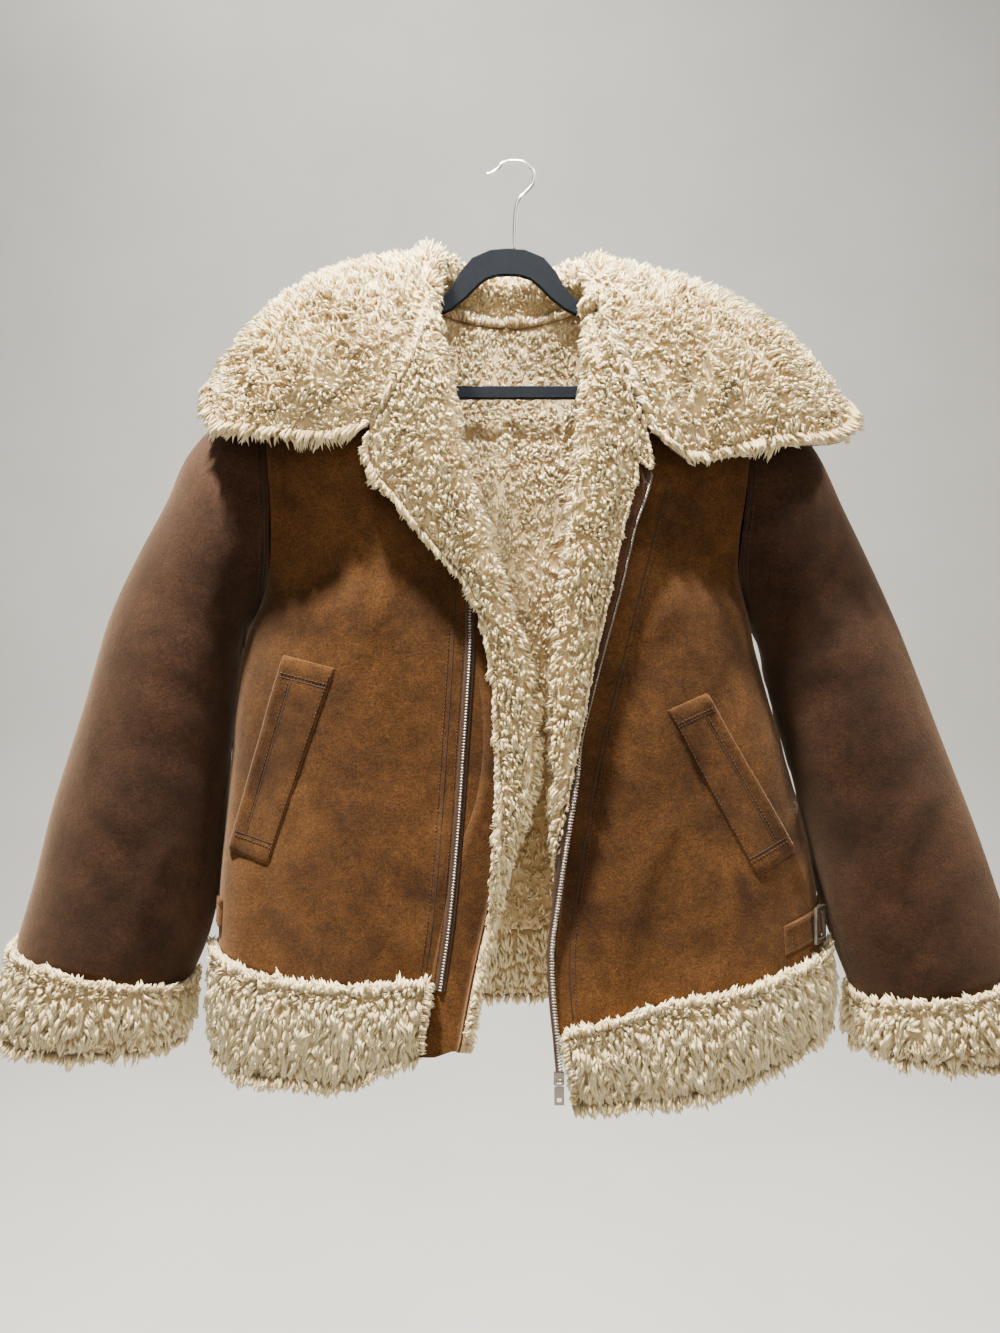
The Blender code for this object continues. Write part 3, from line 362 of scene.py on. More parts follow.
def normals(p, closed=False, sign=1):
    """Unit normals of a grid of points."""
    if closed:
        du = np.roll(p, -1, axis=0) - np.roll(p, 1, axis=0)
    else:
        du = np.gradient(p, axis=0)
    return sign * unit(np.cross(du, np.gradient(p, axis=1)))


def smooth_noise(p, scale, seed):
    """A soft uneven field of about -1 to 1 over points, from a few tilted waves."""
    rng = np.random.default_rng(seed)
    total = np.zeros(p.shape[:-1])
    for _ in range(9):
        d = rng.normal(size=3)
        d *= scale * rng.uniform(0.6, 1.7) / np.linalg.norm(d)
        total += np.sin(p @ d + rng.uniform(0, 2 * math.pi))
    return total / 4.2


def grid_faces(nu, nv, off=0, closed=False, flip=False):
    i = np.arange(nu if closed else nu - 1)
    j = np.arange(nv - 1)
    a = off + i[:, None] * nv + j[None]
    b = off + ((i + 1) % nu)[:, None] * nv + j[None]
    quads = np.stack((a, b, b + 1, a + 1), axis=-1).reshape(-1, 4)
    return quads[:, ::-1] if flip else quads


def rim_faces(loop_a, loop_b):
    """Quads between two closed loops of point numbers."""
    a, b = np.asarray(loop_a), np.asarray(loop_b)
    return np.stack((a, b, np.roll(b, -1), np.roll(a, -1)), axis=-1)


def add(name, verts, quads, tris, mat, nodes=(), attributes=None):
    """One mesh piece of quads and triangles, which rides on the jacket."""
    verts = np.asarray(verts, np.float32)
    tris = np.zeros((0, 3), int) if tris is None else tris
    loops = np.concatenate((quads.ravel(), tris.ravel())).astype(np.int32)
    starts = np.concatenate((np.arange(len(quads)) * 4, len(quads) * 4 + np.arange(len(tris)) * 3))
    mesh = bpy.data.meshes.new(name)
    mesh.vertices.add(len(verts))
    mesh.vertices.foreach_set("co", verts.ravel())
    mesh.loops.add(len(loops))
    mesh.loops.foreach_set("vertex_index", loops)
    mesh.polygons.add(len(starts))
    mesh.polygons.foreach_set("loop_start", starts.astype(np.int32))
    mesh.materials.append(mat)
    mesh.update(calc_edges=True)
    mesh.polygons.foreach_set("use_smooth", np.ones(len(starts), bool))
    for key, values in (attributes or {}).items():
        layer = mesh.attributes.new(key, "FLOAT", "POINT")
        layer.data.foreach_set("value", np.asarray(values, np.float32))
    mesh.validate()
    o = bpy.data.objects.new(name, mesh)
    bpy.context.scene.collection.objects.link(o)
    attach(o, "jacket")
    if nodes:
        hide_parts(*nodes)
    return o


def shell(near, far, closed=False):
    """Points and quads of a closed wall between two grids. far is the side that its faces look out from."""
    nu, nv = near.shape[:2]
    verts = np.concatenate((far.reshape(-1, 3), near.reshape(-1, 3)))
    off = nu * nv
    quads = [grid_faces(nu, nv, 0, closed), grid_faces(nu, nv, off, closed, flip=True)]
    if closed:
        for j, swapped in ((0, False), (nv - 1, True)):
            loop = np.arange(nu) * nv + j
            quads.append(rim_faces(loop + off, loop) if swapped else rim_faces(loop, loop + off))
    else:
        loop = np.concatenate((np.arange(nu - 1) * nv, (nu - 1) * nv + np.arange(nv - 1),
                               np.arange(nu - 1, 0, -1) * nv + nv - 1, np.arange(nv - 1, 0, -1)))
        quads.append(rim_faces(loop, loop + off))
    quads = np.concatenate(quads)
    # The faces look outward where the volume that they enclose is positive.
    a, b, c = (verts[k] for k in np.concatenate((quads[:, :3], quads[:, [0, 2, 3]])).T)
    volume = np.einsum("ij,ij->i", a, np.cross(b, c)).sum()
    return verts, quads if volume > 0 else quads[:, ::-1]


pieces, trees = {}, {}


def ray_tree(*walls):
    """What a ray can be cast on, from walls of points and quads."""
    verts, quads = [], []
    for v, q in walls:
        quads += [tuple(x) for x in (q + len(verts)).tolist()]
        verts += [tuple(x) for x in v]
    return BVHTree.FromPolygons(verts, quads)


def cloth(node, near, far, mat=None, closed=False, name=None):
    """A wall of suede that stands for a node."""
    verts, quads = shell(near, far, closed)
    pieces[node] = add((name or node) + "_suede", verts, quads, None, mat or SUEDE_BODY, [node])
    return verts, quads


def spread(inner, rim=0.006):
    """Shares from 0 to 1 with a few close lines at both ends."""
    low = [rim * e for e in (0.0, 0.12, 0.4, 1.0)]
    return np.array(low + list(np.linspace(rim, 1 - rim, inner)[1:-1]) + [1 - e for e in reversed(low)])


def rim_fall(share_a, share_b, rim=0.006):
    """0 on the border lines of a grid and 1 inside them, rounded."""
    def one(s):
        t = np.clip(np.minimum(s, 1 - s) / rim, 0, 1)
        return np.sqrt(1 - (1 - t) ** 2)
    return one(share_a)[:, None] * one(share_b)[None]


def creases(p, table):
    """Push of soft troughs and ridges. Columns: from x z, to x z, half width, height, all in mm."""
    total = np.zeros(p.shape[:-1])
    xz = p[..., [0, 2]] / MM
    for k, (xa, za, xb, zb, wide, high) in enumerate(table):
        a, b = np.array((xa, za), float), np.array((xb, zb), float)
        d = b - a
        share = ((xz - a) @ d) / (d @ d)
        t = np.clip(share, -0.15, 1.15)
        bend = 0.08 * np.linalg.norm(d) * np.sin(math.pi * np.clip(t, 0, 1)) * (1 if k % 2 else -1)
        off = xz - a - t[..., None] * d
        away = (off @ np.array((-d[1], d[0]))) / np.linalg.norm(d) - bend
        total += 1.6 * high * np.exp(-(away / wide) ** 2) * ease(0.62, 0.3, np.abs(share - 0.5))
    return np.maximum(total, -1.25) * MM


# ---- materials

def node_material(name):
    m = bpy.data.materials.new(name)
    m.use_nodes = True
    tree = m.node_tree
    return m, tree, tree.nodes["Principled BSDF"]


def set_inputs(node, values):
    for key, value in values.items():
        node.inputs[key].default_value = value


def noise_node(tree, scale, detail=3.0, rough=0.6, distortion=0.0):
    n = tree.nodes.new("ShaderNodeTexNoise")
    set_inputs(n, {"Scale": scale, "Detail": detail, "Roughness": rough, "Distortion": distortion})
    place = tree.nodes.get("place")
    if place is None:
        place = tree.nodes.new("ShaderNodeTexCoord")
        place.name = "place"
    tree.links.new(place.outputs["Object"], n.inputs["Vector"])
    return n.outputs["Fac"]


def ramp_node(tree, source, stops):
    r = tree.nodes.new("ShaderNodeValToRGB")
    while len(r.color_ramp.elements) < len(stops):
        r.color_ramp.elements.new(0.5)
    for e, (at, colour) in zip(r.color_ramp.elements, stops):
        e.position = at
        e.color = (*colour, 1)
    tree.links.new(source, r.inputs["Fac"])
    return r.outputs["Color"]


def mix_node(tree, kind, a, b, factor):
    m = tree.nodes.new("ShaderNodeMix")
    m.data_type = "RGBA"
    m.blend_type = kind
    if isinstance(factor, float):
        m.inputs["Factor"].default_value = factor
    else:
        tree.links.new(factor, m.inputs["Factor"])
    for socket, value in (("A", a), ("B", b)):
        target = [s for s in m.inputs if s.name == socket and s.type == "RGBA"][0]
        if isinstance(value, tuple):
            target.default_value = (*value, 1)
        else:
            tree.links.new(value, target)
    return [s for s in m.outputs if s.type == "RGBA"][0]


def bump_node(tree, source, strength, distance, before=None):
    b = tree.nodes.new("ShaderNodeBump")
    set_inputs(b, {"Strength": strength, "Distance": distance})
    tree.links.new(source, b.inputs["Height"])
    if before is not None:
        tree.links.new(before, b.inputs["Normal"])
    return b.outputs["Normal"]


def suede_material(name, dark, light, rub):
    """Napped suede: brushed patches, grain and a few rubbed lighter places."""
    m, tree, shader = node_material(name)
    middle = tuple((a + b) / 2 for a, b in zip(dark, light))
    patches = noise_node(tree, 11.0, 5.0, 0.62, 0.5)
    colour = ramp_node(tree, patches, ((0.33, dark), (0.5, middle), (0.68, light)))
    for scale, detail, low, high, floor, amount in ((40.0, 5.0, 0.34, 0.66, 0.42, 0.66),
                                                    (210.0, 3.0, 0.34, 0.64, 0.48, 0.5),
                                                    (680.0, 2.0, 0.36, 0.62, 0.30, 0.75)):
        field = noise_node(tree, scale, detail, 0.66, 0.3)
        tone = ramp_node(tree, field, ((low, (floor, floor * 0.97, floor * 0.94)), (high, (1.0, 1.0, 1.0))))
        colour = mix_node(tree, "MULTIPLY", colour, tone, amount)
    wear = noise_node(tree, 26.0, 7.0, 0.75, 0.4)
    worn = ramp_node(tree, wear, ((0.62, (0, 0, 0)), (0.95, (0.5, 0.5, 0.5))))
    colour = mix_node(tree, "MIX", colour, rub, worn)
    tree.links.new(colour, shader.inputs["Base Color"])
    set_inputs(shader, {"Roughness": 0.95, "Specular IOR Level": 0.12, "Sheen Weight": 0.22,
                        "Sheen Roughness": 0.5, "Sheen Tint": (0.75, 0.5, 0.32, 1)})
    grain = bump_node(tree, noise_node(tree, 620.0, 3.0, 0.75), 0.7, 0.0006)
    nap = bump_node(tree, noise_node(tree, 70.0, 5.0, 0.6), 0.4, 0.0016, grain)
    tree.links.new(nap, shader.inputs["Normal"])
    return m


def fur_material(name, root, middle, tip):
    """Locks coloured from painted shade at the root to a painted highlight at the tip, each a little
    different, with fine hair lines.
    """
    m, tree, shader = node_material(name)
    along = tree.nodes.new("ShaderNodeAttribute")
    along.attribute_name = "tip"
    each = tree.nodes.new("ShaderNodeAttribute")
    each.attribute_name = "lock"
    # Painted shade and highlight: the colour darkens towards each lock's root and brightens towards its tip.
    colour = ramp_node(tree, along.outputs["Fac"], ((0.0, root), (0.45, middle), (1.0, tip)))
    varied = ramp_node(tree, each.outputs["Fac"], ((0.0, (0.64, 0.55, 0.43)), (0.55, (0.93, 0.90, 0.84)),
                                                   (1.0, (1.0, 1.0, 1.0))))
    colour = mix_node(tree, "MULTIPLY", colour, varied, 0.8)
    tufts = ramp_node(tree, noise_node(tree, 38.0, 3.0, 0.6), ((0.3, (0.80, 0.73, 0.62)), (0.62, (1, 1, 1))))
    colour = mix_node(tree, "MULTIPLY", colour, tufts, 0.6)
    hair = noise_node(tree, 1500.0, 2.0, 0.7)
    lines = ramp_node(tree, hair, ((0.3, (0.74, 0.70, 0.64)), (0.62, (1, 1, 1))))
    colour = mix_node(tree, "MULTIPLY", colour, lines, 0.5)
    tree.links.new(colour, shader.inputs["Base Color"])
    set_inputs(shader, {"Roughness": 0.72, "Specular IOR Level": 0.25, "Sheen Weight": 0.35,
                        "Sheen Roughness": 0.4})
    tree.links.new(bump_node(tree, hair, 0.5, 0.0004), shader.inputs["Normal"])
    return m


def plain_material(name, colour, rough, metal=0.0, grain=500.0, strength=0.1, shade=0.85):
    """A surface with fine uneven colour and roughness."""
    m, tree, shader = node_material(name)
    field = noise_node(tree, grain, 3.0, 0.65)
    tone = ramp_node(tree, field, ((0.3, tuple(c * shade for c in colour)), (0.7, colour)))
    tree.links.new(tone, shader.inputs["Base Color"])
    shader.inputs["Metallic"].default_value = metal
    rough_ramp = ramp_node(tree, noise_node(tree, grain * 0.3, 4.0, 0.7),
                           ((0.3, (rough * 0.8,) * 3), (0.7, (min(1.0, rough * 1.2),) * 3)))
    tree.links.new(rough_ramp, shader.inputs["Roughness"])
    tree.links.new(bump_node(tree, field, strength, 0.0004), shader.inputs["Normal"])
    return m


SUEDE_BODY = suede_material("suede_body", (0.054, 0.020, 0.0048), (0.150, 0.062, 0.015), (0.21, 0.098, 0.033))
SUEDE_SLEEVE = suede_material("suede_sleeve", (0.026, 0.0107, 0.005), (0.065, 0.028, 0.0135),
                              (0.10, 0.050, 0.027))
SUEDE_DARK = suede_material("suede_dark", (0.035, 0.014, 0.006), (0.085, 0.034, 0.014), (0.12, 0.055, 0.026))
FUR_LIGHT = fur_material("fur_light", (0.52, 0.38, 0.20), (0.86, 0.70, 0.40), (1.0, 0.90, 0.575))
FUR_GREY = fur_material("fur_greyer", (0.34, 0.245, 0.13), (0.80, 0.65, 0.38), (1.0, 0.91, 0.59))
# Painted light: the lining's fur is painted lighter than the collar's to make up for the shade that the neck
# and back lining lie in.
FUR_PAINTED_LIGHT = fur_material("fur_painted_light", (0.55, 0.40, 0.21), (0.92, 0.74, 0.45), (1.0, 0.91, 0.62))
THREAD = plain_material("thread", (0.045, 0.018, 0.008), 0.7, grain=900.0, strength=0.3)
# Painted shadow: the near-black colour of the thin tubes laid in the grooves of seams and pocket welts.
SEAM_SHADE = plain_material("seam_shadow", (0.016, 0.0065, 0.0035), 0.95, grain=700.0, strength=0.2)
TAPE = plain_material("zip_tape", (0.052, 0.021, 0.009), 0.9, grain=1400.0, strength=0.5, shade=0.6)
TEETH = plain_material("zip_metal", (0.36, 0.32, 0.27), 0.42, 1.0, grain=300.0, strength=0.05, shade=0.8)
BUCKLE = plain_material("buckle_metal", (0.42, 0.39, 0.35), 0.35, 1.0, grain=220.0, strength=0.06, shade=0.7)
CHROME = plain_material("chrome_wire", (0.78, 0.78, 0.78), 0.16, 1.0, grain=120.0, strength=0.02, shade=0.92)
FLOCK = plain_material("velvet_flock", (0.0075, 0.0095, 0.0125), 0.95, grain=1600.0, strength=0.6, shade=0.45)
set_inputs(FLOCK.node_tree.nodes["Principled BSDF"],
           {"Specular IOR Level": 0.08, "Sheen Weight": 0.03, "Sheen Tint": (0.3, 0.33, 0.4, 1)})


# ---- fur

def sample_grid(p, extra, count, weight, rng, closed=False):
    """Even random places on a grid. Returns points and the values of the extra grids there."""
    q = np.concatenate((p, p[:1])) if closed else p
    extra = [np.concatenate((e, e[:1])) if closed else e for e in extra]
    w = np.concatenate((weight, weight[:1])) if closed else weight
    area = np.linalg.norm(np.cross(q[1:, :-1] - q[:-1, :-1], q[:-1, 1:] - q[:-1, :-1]), axis=-1)
    area = area * (w[1:, :-1] + w[:-1, 1:]) / 2
    area[1::2] = area[1::2, ::-1]
    total = np.cumsum(area.ravel())
    at = (np.arange(count) + rng.uniform(0, 1, count)) / count * total[-1]
    cell = np.clip(np.searchsorted(total, at), 0, area.size - 1)
    i, j = cell // area.shape[1], cell % area.shape[1]
    j = np.where(i % 2 == 1, area.shape[1] - 1 - j, j)
    a, b = rng.uniform(0, 1, count), rng.uniform(0, 1, count)

    def value(g):
        more = (...,) + (None,) * (g.ndim - 2)
        return ((g[i, j] * ((1 - a) * (1 - b))[more] + g[i + 1, j] * (a * (1 - b))[more])
                + (g[i, j + 1] * ((1 - a) * b)[more] + g[i + 1, j + 1] * (a * b)[more]))
    return value(q), [value(e) for e in extra]


def locks(p, n, height, lean, count, rng, weight, closed=False, wide=1.45, wave=1.5, tuft=8.0, pull=0.4,
          root=0.25, vary=(0.78, 1.12)):
    """Curved tapered locks on a surface. lean is a grid of vectors, how far each tip is carried sideways."""
    at, (nn, hh, ll) = sample_grid(p, [n, height, lean], count, weight, rng, closed)
    nn = unit(nn)
    tall = hh * rng.uniform(*vary, count)
    small = np.clip(hh / LOCK_PILE, 0.02, 1)
    ll = ll * small[:, None]
    start = at + nn * (hh * root)[:, None]
    rise = nn * (tall - hh * root)[:, None]
    side_a = unit(np.cross(nn, rng.normal(size=(count, 3))))
    side_b = np.cross(nn, side_a)
    phase = rng.uniform(0, 2 * math.pi, count)
    turns = rng.uniform(0.55, 1.15, count)
    size = wave * MM * rng.uniform(0.5, 1.4, count) * small
    steps = (0.0, 0.56, 1.0)
    path = []
    for t in steps:
        w = phase + 2 * math.pi * turns * t
        curl = side_a * (np.cos(w) * size * t)[:, None] + side_b * (np.sin(w) * size * t)[:, None]
        path.append(start + rise * (t * (1.35 - 0.35 * t)) + ll * (t * t) + curl)
    path = np.stack(path, axis=1)
    # Locks near each other lean together into tufts.
    leaders = rng.choice(count, max(1, int(count / tuft)), replace=False)
    tree = KDTree(len(leaders))
    for k, i in enumerate(leaders):
        tree.insert(start[i], k)
    tree.balance()
    mine = np.array([leaders[tree.find(x)[1]] for x in start])
    for k, t in enumerate(steps):
        path[:, k] += (path[mine, k] - path[:, k]) * (pull * t)
    along = unit(path[:, -1] - path[:, 0])
    e1 = unit(np.cross(along, side_a + 0.01))
    e2 = np.cross(along, e1)
    thick = wide * MM * rng.uniform(0.75, 1.25, count) * (0.3 + 0.7 * small)
    verts, tip = [], []
    for k, share in enumerate((1.0, 0.95)):
        for c in range(3):
            a = 2 * math.pi * c / 3 + phase
            out = e1 * np.cos(a)[:, None] + e2 * np.sin(a)[:, None]
            verts.append(path[:, k] + out * (thick * share)[:, None])
            tip.append(steps[k])
    verts.append(path[:, 2])
    tip.append(1.0)
    verts = np.stack(verts, axis=1).reshape(-1, 3)
    one = []
    for c in range(3):
        d = (c + 1) % 3
        one += [(c, d, d + 3), (c, d + 3, c + 3), (3 + c, 3 + d, 6)]
    one.append((2, 1, 0))
    one = np.array(one)
    tris = (np.arange(count)[:, None, None] * 7 + one[None]).reshape(-1, 3)
    tips = np.tile(np.array(tip), count)
    each = np.repeat(rng.uniform(0, 1, count) * 0.6 + 0.4 * rng.uniform(0, 1, count)[mine], 7)
    return verts, tris, tips, each


def short_locks(p, n, height, lean, count, rng, weight, closed=False, wide=2.3):
    """Short straight locks that close the gaps between the long ones."""
    at, (nn, hh, ll) = sample_grid(p, [n, height, lean], count, weight, rng, closed)
    nn = unit(nn)
    small = np.clip(hh / LOCK_PILE, 0.02, 1)
    side_a = unit(np.cross(nn, rng.normal(size=(count, 3))))
    side_b = np.cross(nn, side_a)
    thick = wide * MM * rng.uniform(0.7, 1.3, count) * (0.3 + 0.7 * small)
    verts = []
    for c in range(3):
        a = 2 * math.pi * c / 3
        out = side_a * math.cos(a) + side_b * math.sin(a)
        verts.append(at + nn * (hh * 0.3)[:, None] + out * thick[:, None])
    verts.append(at + nn * (hh * rng.uniform(0.66, 1.0, count))[:, None] + ll * (0.6 * small)[:, None]
                 + side_a * (hh * rng.uniform(0.05, 0.45, count))[:, None])
    verts = np.stack(verts, axis=1).reshape(-1, 3)
    one = np.array(((0, 1, 3), (1, 2, 3), (2, 0, 3), (2, 1, 0)))
    tris = (np.arange(count)[:, None, None] * 4 + one[None]).reshape(-1, 3)
    # The short locks take the root's painted shade at their base and a lighter painted highlight at their
    # tips.
    return verts, tris, np.tile((0.2, 0.2, 0.2, 0.85), count), np.repeat(rng.uniform(0.2, 1.0, count), 4)


def edge_locks(p, n, height, border, reach, count, rng, low=0.1, high=0.85, droop=2.0, wide=1.3, inset=0,
               lines=None):
    """Locks that stand out over one border of a grid: u0, u1, v0 or v1."""
    if border[0] == "u":
        p, n, height = (np.swapaxes(a, 0, 1) for a in (p, n, height))
    if border[1] == "1":
        p, n, height = (a[:, ::-1] for a in (p, n, height))
    if lines is not None:
        p, n, height = p[lines], n[lines], height[lines]
    a, b, nn, hh = p[:, inset], p[:, inset + 2], n[:, 0], height[:, inset + 1]
    out = unit(a - b)
    grid = a[:, None] + nn[:, None] * hh[:, None, None] * np.array((low, high))[None, :, None]
    out = unit(out[:, None] + nn[:, None] * np.array((-0.1, 0.45))[None, :, None])
    reach = np.full(grid.shape[:2], reach * MM)
    lean = down_lean(out, droop, int(rng.integers(1, 10 ** 6)), 0.8)
    lean = lean + rng.normal(size=lean.shape) * (0.2 * reach[..., None])
    return locks(grid, out, reach, lean, count, rng, np.ones(grid.shape[:2]), wide=wide, wave=2.2, root=0.1,
                 vary=(0.45, 1.3))


def fur_piece(node, name, mat, base, fields):
    """A closed under-fur body and the locks on it, as one mesh that stands for a node."""
    verts, quads = base
    # The under-fur takes a colour near the roots': painted shade between the locks.
    tips = [np.full(len(verts), 0.12)]
    each = [0.5 + 0.4 * smooth_noise(verts, 300.0, 5)]
    all_verts, tris, off = [verts], [], len(verts)
    for v, t, tip, e in fields:
        all_verts.append(v)
        tris.append(t + off)
        tips.append(tip)
        each.append(e)
        off += len(v)
    values = {"tip": np.concatenate(tips), "lock": np.clip(np.concatenate(each), 0, 1)}
    pieces[node] = add(name + "_shearling", np.concatenate(all_verts), quads, np.concatenate(tris), mat,
                       [node], values)


def under_fur(p, n, height, seed, share=0.5):
    """A lumpy wall about half as thick as the pile."""
    lumps = 1 + 0.35 * smooth_noise(p, 420.0, seed)
    return shell(p, p + n * (height * share * lumps)[..., None])


def down_lean(n, amount, rng_seed, jitter=0.35):
    """Tangent vectors that point mostly down, for hanging locks."""
    rng = np.random.default_rng(rng_seed)
    d = np.zeros_like(n)
    d[..., 2] = -1
    d += rng.normal(size=n.shape) * jitter
    d -= n * np.einsum("...k,...k->...", d, n)[..., None]
    return d * (amount * MM)


def build_collar():
    rows = collar_sections()
    i = np.linspace(0, len(rows) - 1, 65)
    j = np.concatenate((np.linspace(0, 2, 4)[:-1], np.linspace(2, 6, 9)[:-1], np.linspace(6, 11, 16)))
    p = hermite(range(len(rows)), rows, i)
    p = np.swapaxes(hermite(range(12), np.swapaxes(p, 0, 1), j), 0, 1)
    n = turned(normals(p), (0, 0, 1))
    full = hermite(range(12), np.array(COLLAR_PILE) * MM, j)
    thin = hermite(range(12), np.array(GORGE_PILE) * MM, j)
    at_end = np.minimum(i, len(rows) - 1 - i)
    height = full[None] + (thin - full)[None] * ease(2.4, 1.0, at_end)[:, None]
    cloth("collar_under", p - n * GAP, p - n * (GAP + SUEDE), name="collar")
    rng = np.random.default_rng(11)
    lean = down_lean(n, 5.0, 12, 1.0)
    weight = np.ones(p.shape[:2])
    weight[:, :7] = 0.7 + 1.3 * np.exp(-((i - 8) / 3.0) ** 2)[:, None]
    behind = ease(4.2, 6.5, i)[:, None] * ease(11.8, 9.5, i)[:, None]
    weight *= 1 - 0.4 * behind
    neck = np.exp(-((i - 8) / 2.2) ** 2)[:, None] * np.exp(-((j - 5) / 2.2) ** 2)[None]
    height = height * (1 + 0.4 * neck)
    weight = weight * (1 + 2.2 * neck)
    ridge = np.maximum(np.exp(-((i - 4.0) / 1.5) ** 2), np.exp(-((i - 12.0) / 1.5) ** 2))
    ridge = ridge[:, None] * np.exp(-((j - 4.6) / 1.7) ** 2)[None]
    height = height * (1 + 0.75 * ridge)
    weight = weight * (1 + 0.8 * ridge)
    fields = [locks(p, n, height * 1.05, lean, 10000, rng, weight, wide=1.75, wave=2.4, tuft=6.0, pull=0.4),
              short_locks(p, n, height, lean, 12500, rng, weight),
              edge_locks(p, n, height, "v1", 15.0, 1900, rng, droop=4.0, wide=1.5, inset=1),
              edge_locks(p, n, height, "u0", 9.0, 380, rng, inset=1),
              edge_locks(p, n, height, "u1", 13.0, 560, rng, inset=1, wide=1.5),
              edge_locks(p, n, height, "v0", 9.0, 330, rng, inset=1, low=0.2, lines=slice(12, 53))]
    fur_piece("collar_fur", "collar", FUR_LIGHT, under_fur(p, n, height, 21), fields)


# Columns: from x z, to x z, half width, height.
LEFT_CREASES = ((-235, -470, -180, -600, 9, -2.2), (-170, -360, -120, -470, 12, 1.8),
                (-90, -420, -60, -640, 10, -1.6), (-250, -560, -215, -720, 8, -2.0),
                (-140, -600, -90, -745, 11, 1.7), (-225, -690, -140, -735, 9, -1.7),
                (-215, -330, -150, -420, 10, -1.8), (-60, -560, -75, -740, 8, 1.2))
RIGHT_CREASES = ((225, -470, 170, -600, 9, -2.2), (165, -350, 120, -470, 12, 1.8),
                 (95, -430, 80, -640, 11, -1.6), (262, -560, 240, -720, 8, -2.0),
                 (150, -610, 100, -765, 11, 1.8), (235, -690, 150, -750, 9, -1.8),
                 (210, -330, 150, -420, 10, -1.8), (265, -580, 262, -640, 7, 2.6))
BACK_CREASES = ((-190, -300, -110, -420, 12, -2.0), (185, -310, 100, -430, 13, -2.2),
                (-60, -380, -40, -620, 14, 1.8), (70, -420, 90, -680, 13, 1.6),
                (-180, -520, -140, -720, 11, -2.2), (190, -540, 150, -720, 11, -2.0),
                (0, -300, 20, -500, 16, -1.4), (-30, -640, 60, -730, 10, -1.5))
LEFT_ARM_CREASES = ((-250, -470, -330, -420, 9, -2.6), (-262, -520, -350, -480, 9, -2.4),
                    (-270, -575, -345, -560, 10, -2.2), (-300, -330, -280, -430, 9, -2.0),
                    (-380, -560, -330, -640, 12, 2.0), (-410, -660, -340, -720, 11, -1.8),
                    (-300, -640, -330, -720, 10, 1.6), (-360, -480, -370, -600, 12, -1.5))
RIGHT_ARM_CREASES = ((245, -480, 320, -430, 9, -2.6), (255, -530, 340, -500, 9, -2.4),
                     (275, -600, 350, -585, 10, -2.2), (290, -330, 280, -430, 9, -2.0),
                     (385, -590, 345, -680, 12, 2.0), (425, -680, 365, -745, 11, -1.8),
                     (320, -660, 345, -745, 10, 1.6), (350, -470, 372, -600, 12, -1.5))


def build_front(side):
    tag = "left" if side < 0 else "right"
    table = LEFT_CREASES if side < 0 else RIGHT_CREASES
    main_u = spread(38) * FLAP_FROM
    if side > 0:
        main_u = np.concatenate((spread(38)[:-4] * 0.985, np.linspace(1, 2, 9), np.linspace(2, 3, 9)[1:]))
    s = spread(68)
    p = front(side, main_u[:, None], s[None])
    n = normals(p, sign=-side)
    push = creases(p, table) + 0.35 * MM * smooth_noise(p, 55.0, 31)
    rim = rim_fall(main_u / main_u[-1] * (0.5 if side < 0 else 1.0), s)
    push *= rim * ease(main_u[-1], main_u[-1] - 0.05, main_u)[:, None] * ease(1.15, 0.95, main_u)[:, None]
    thick = SUEDE * (0.35 + 0.65 * rim) + push
    near = p + n * np.minimum(0.0, push)[..., None]
    walls = [cloth("front_" + tag, near, p + n * thick[..., None])]
    if side < 0:
        u = np.concatenate((np.linspace(FLAP_FROM, 1.0, 5)[:-1], np.linspace(1, 2, 9)[:-1],
                            np.linspace(2, 3, 11)))
        p = front(side, u[:, None], (spread(66) * 1.1 - 0.1)[None])
        walls.append(cloth("flap_left", p, p + normals(p, sign=-side) * SUEDE))
    trees[tag] = ray_tree(*walls)


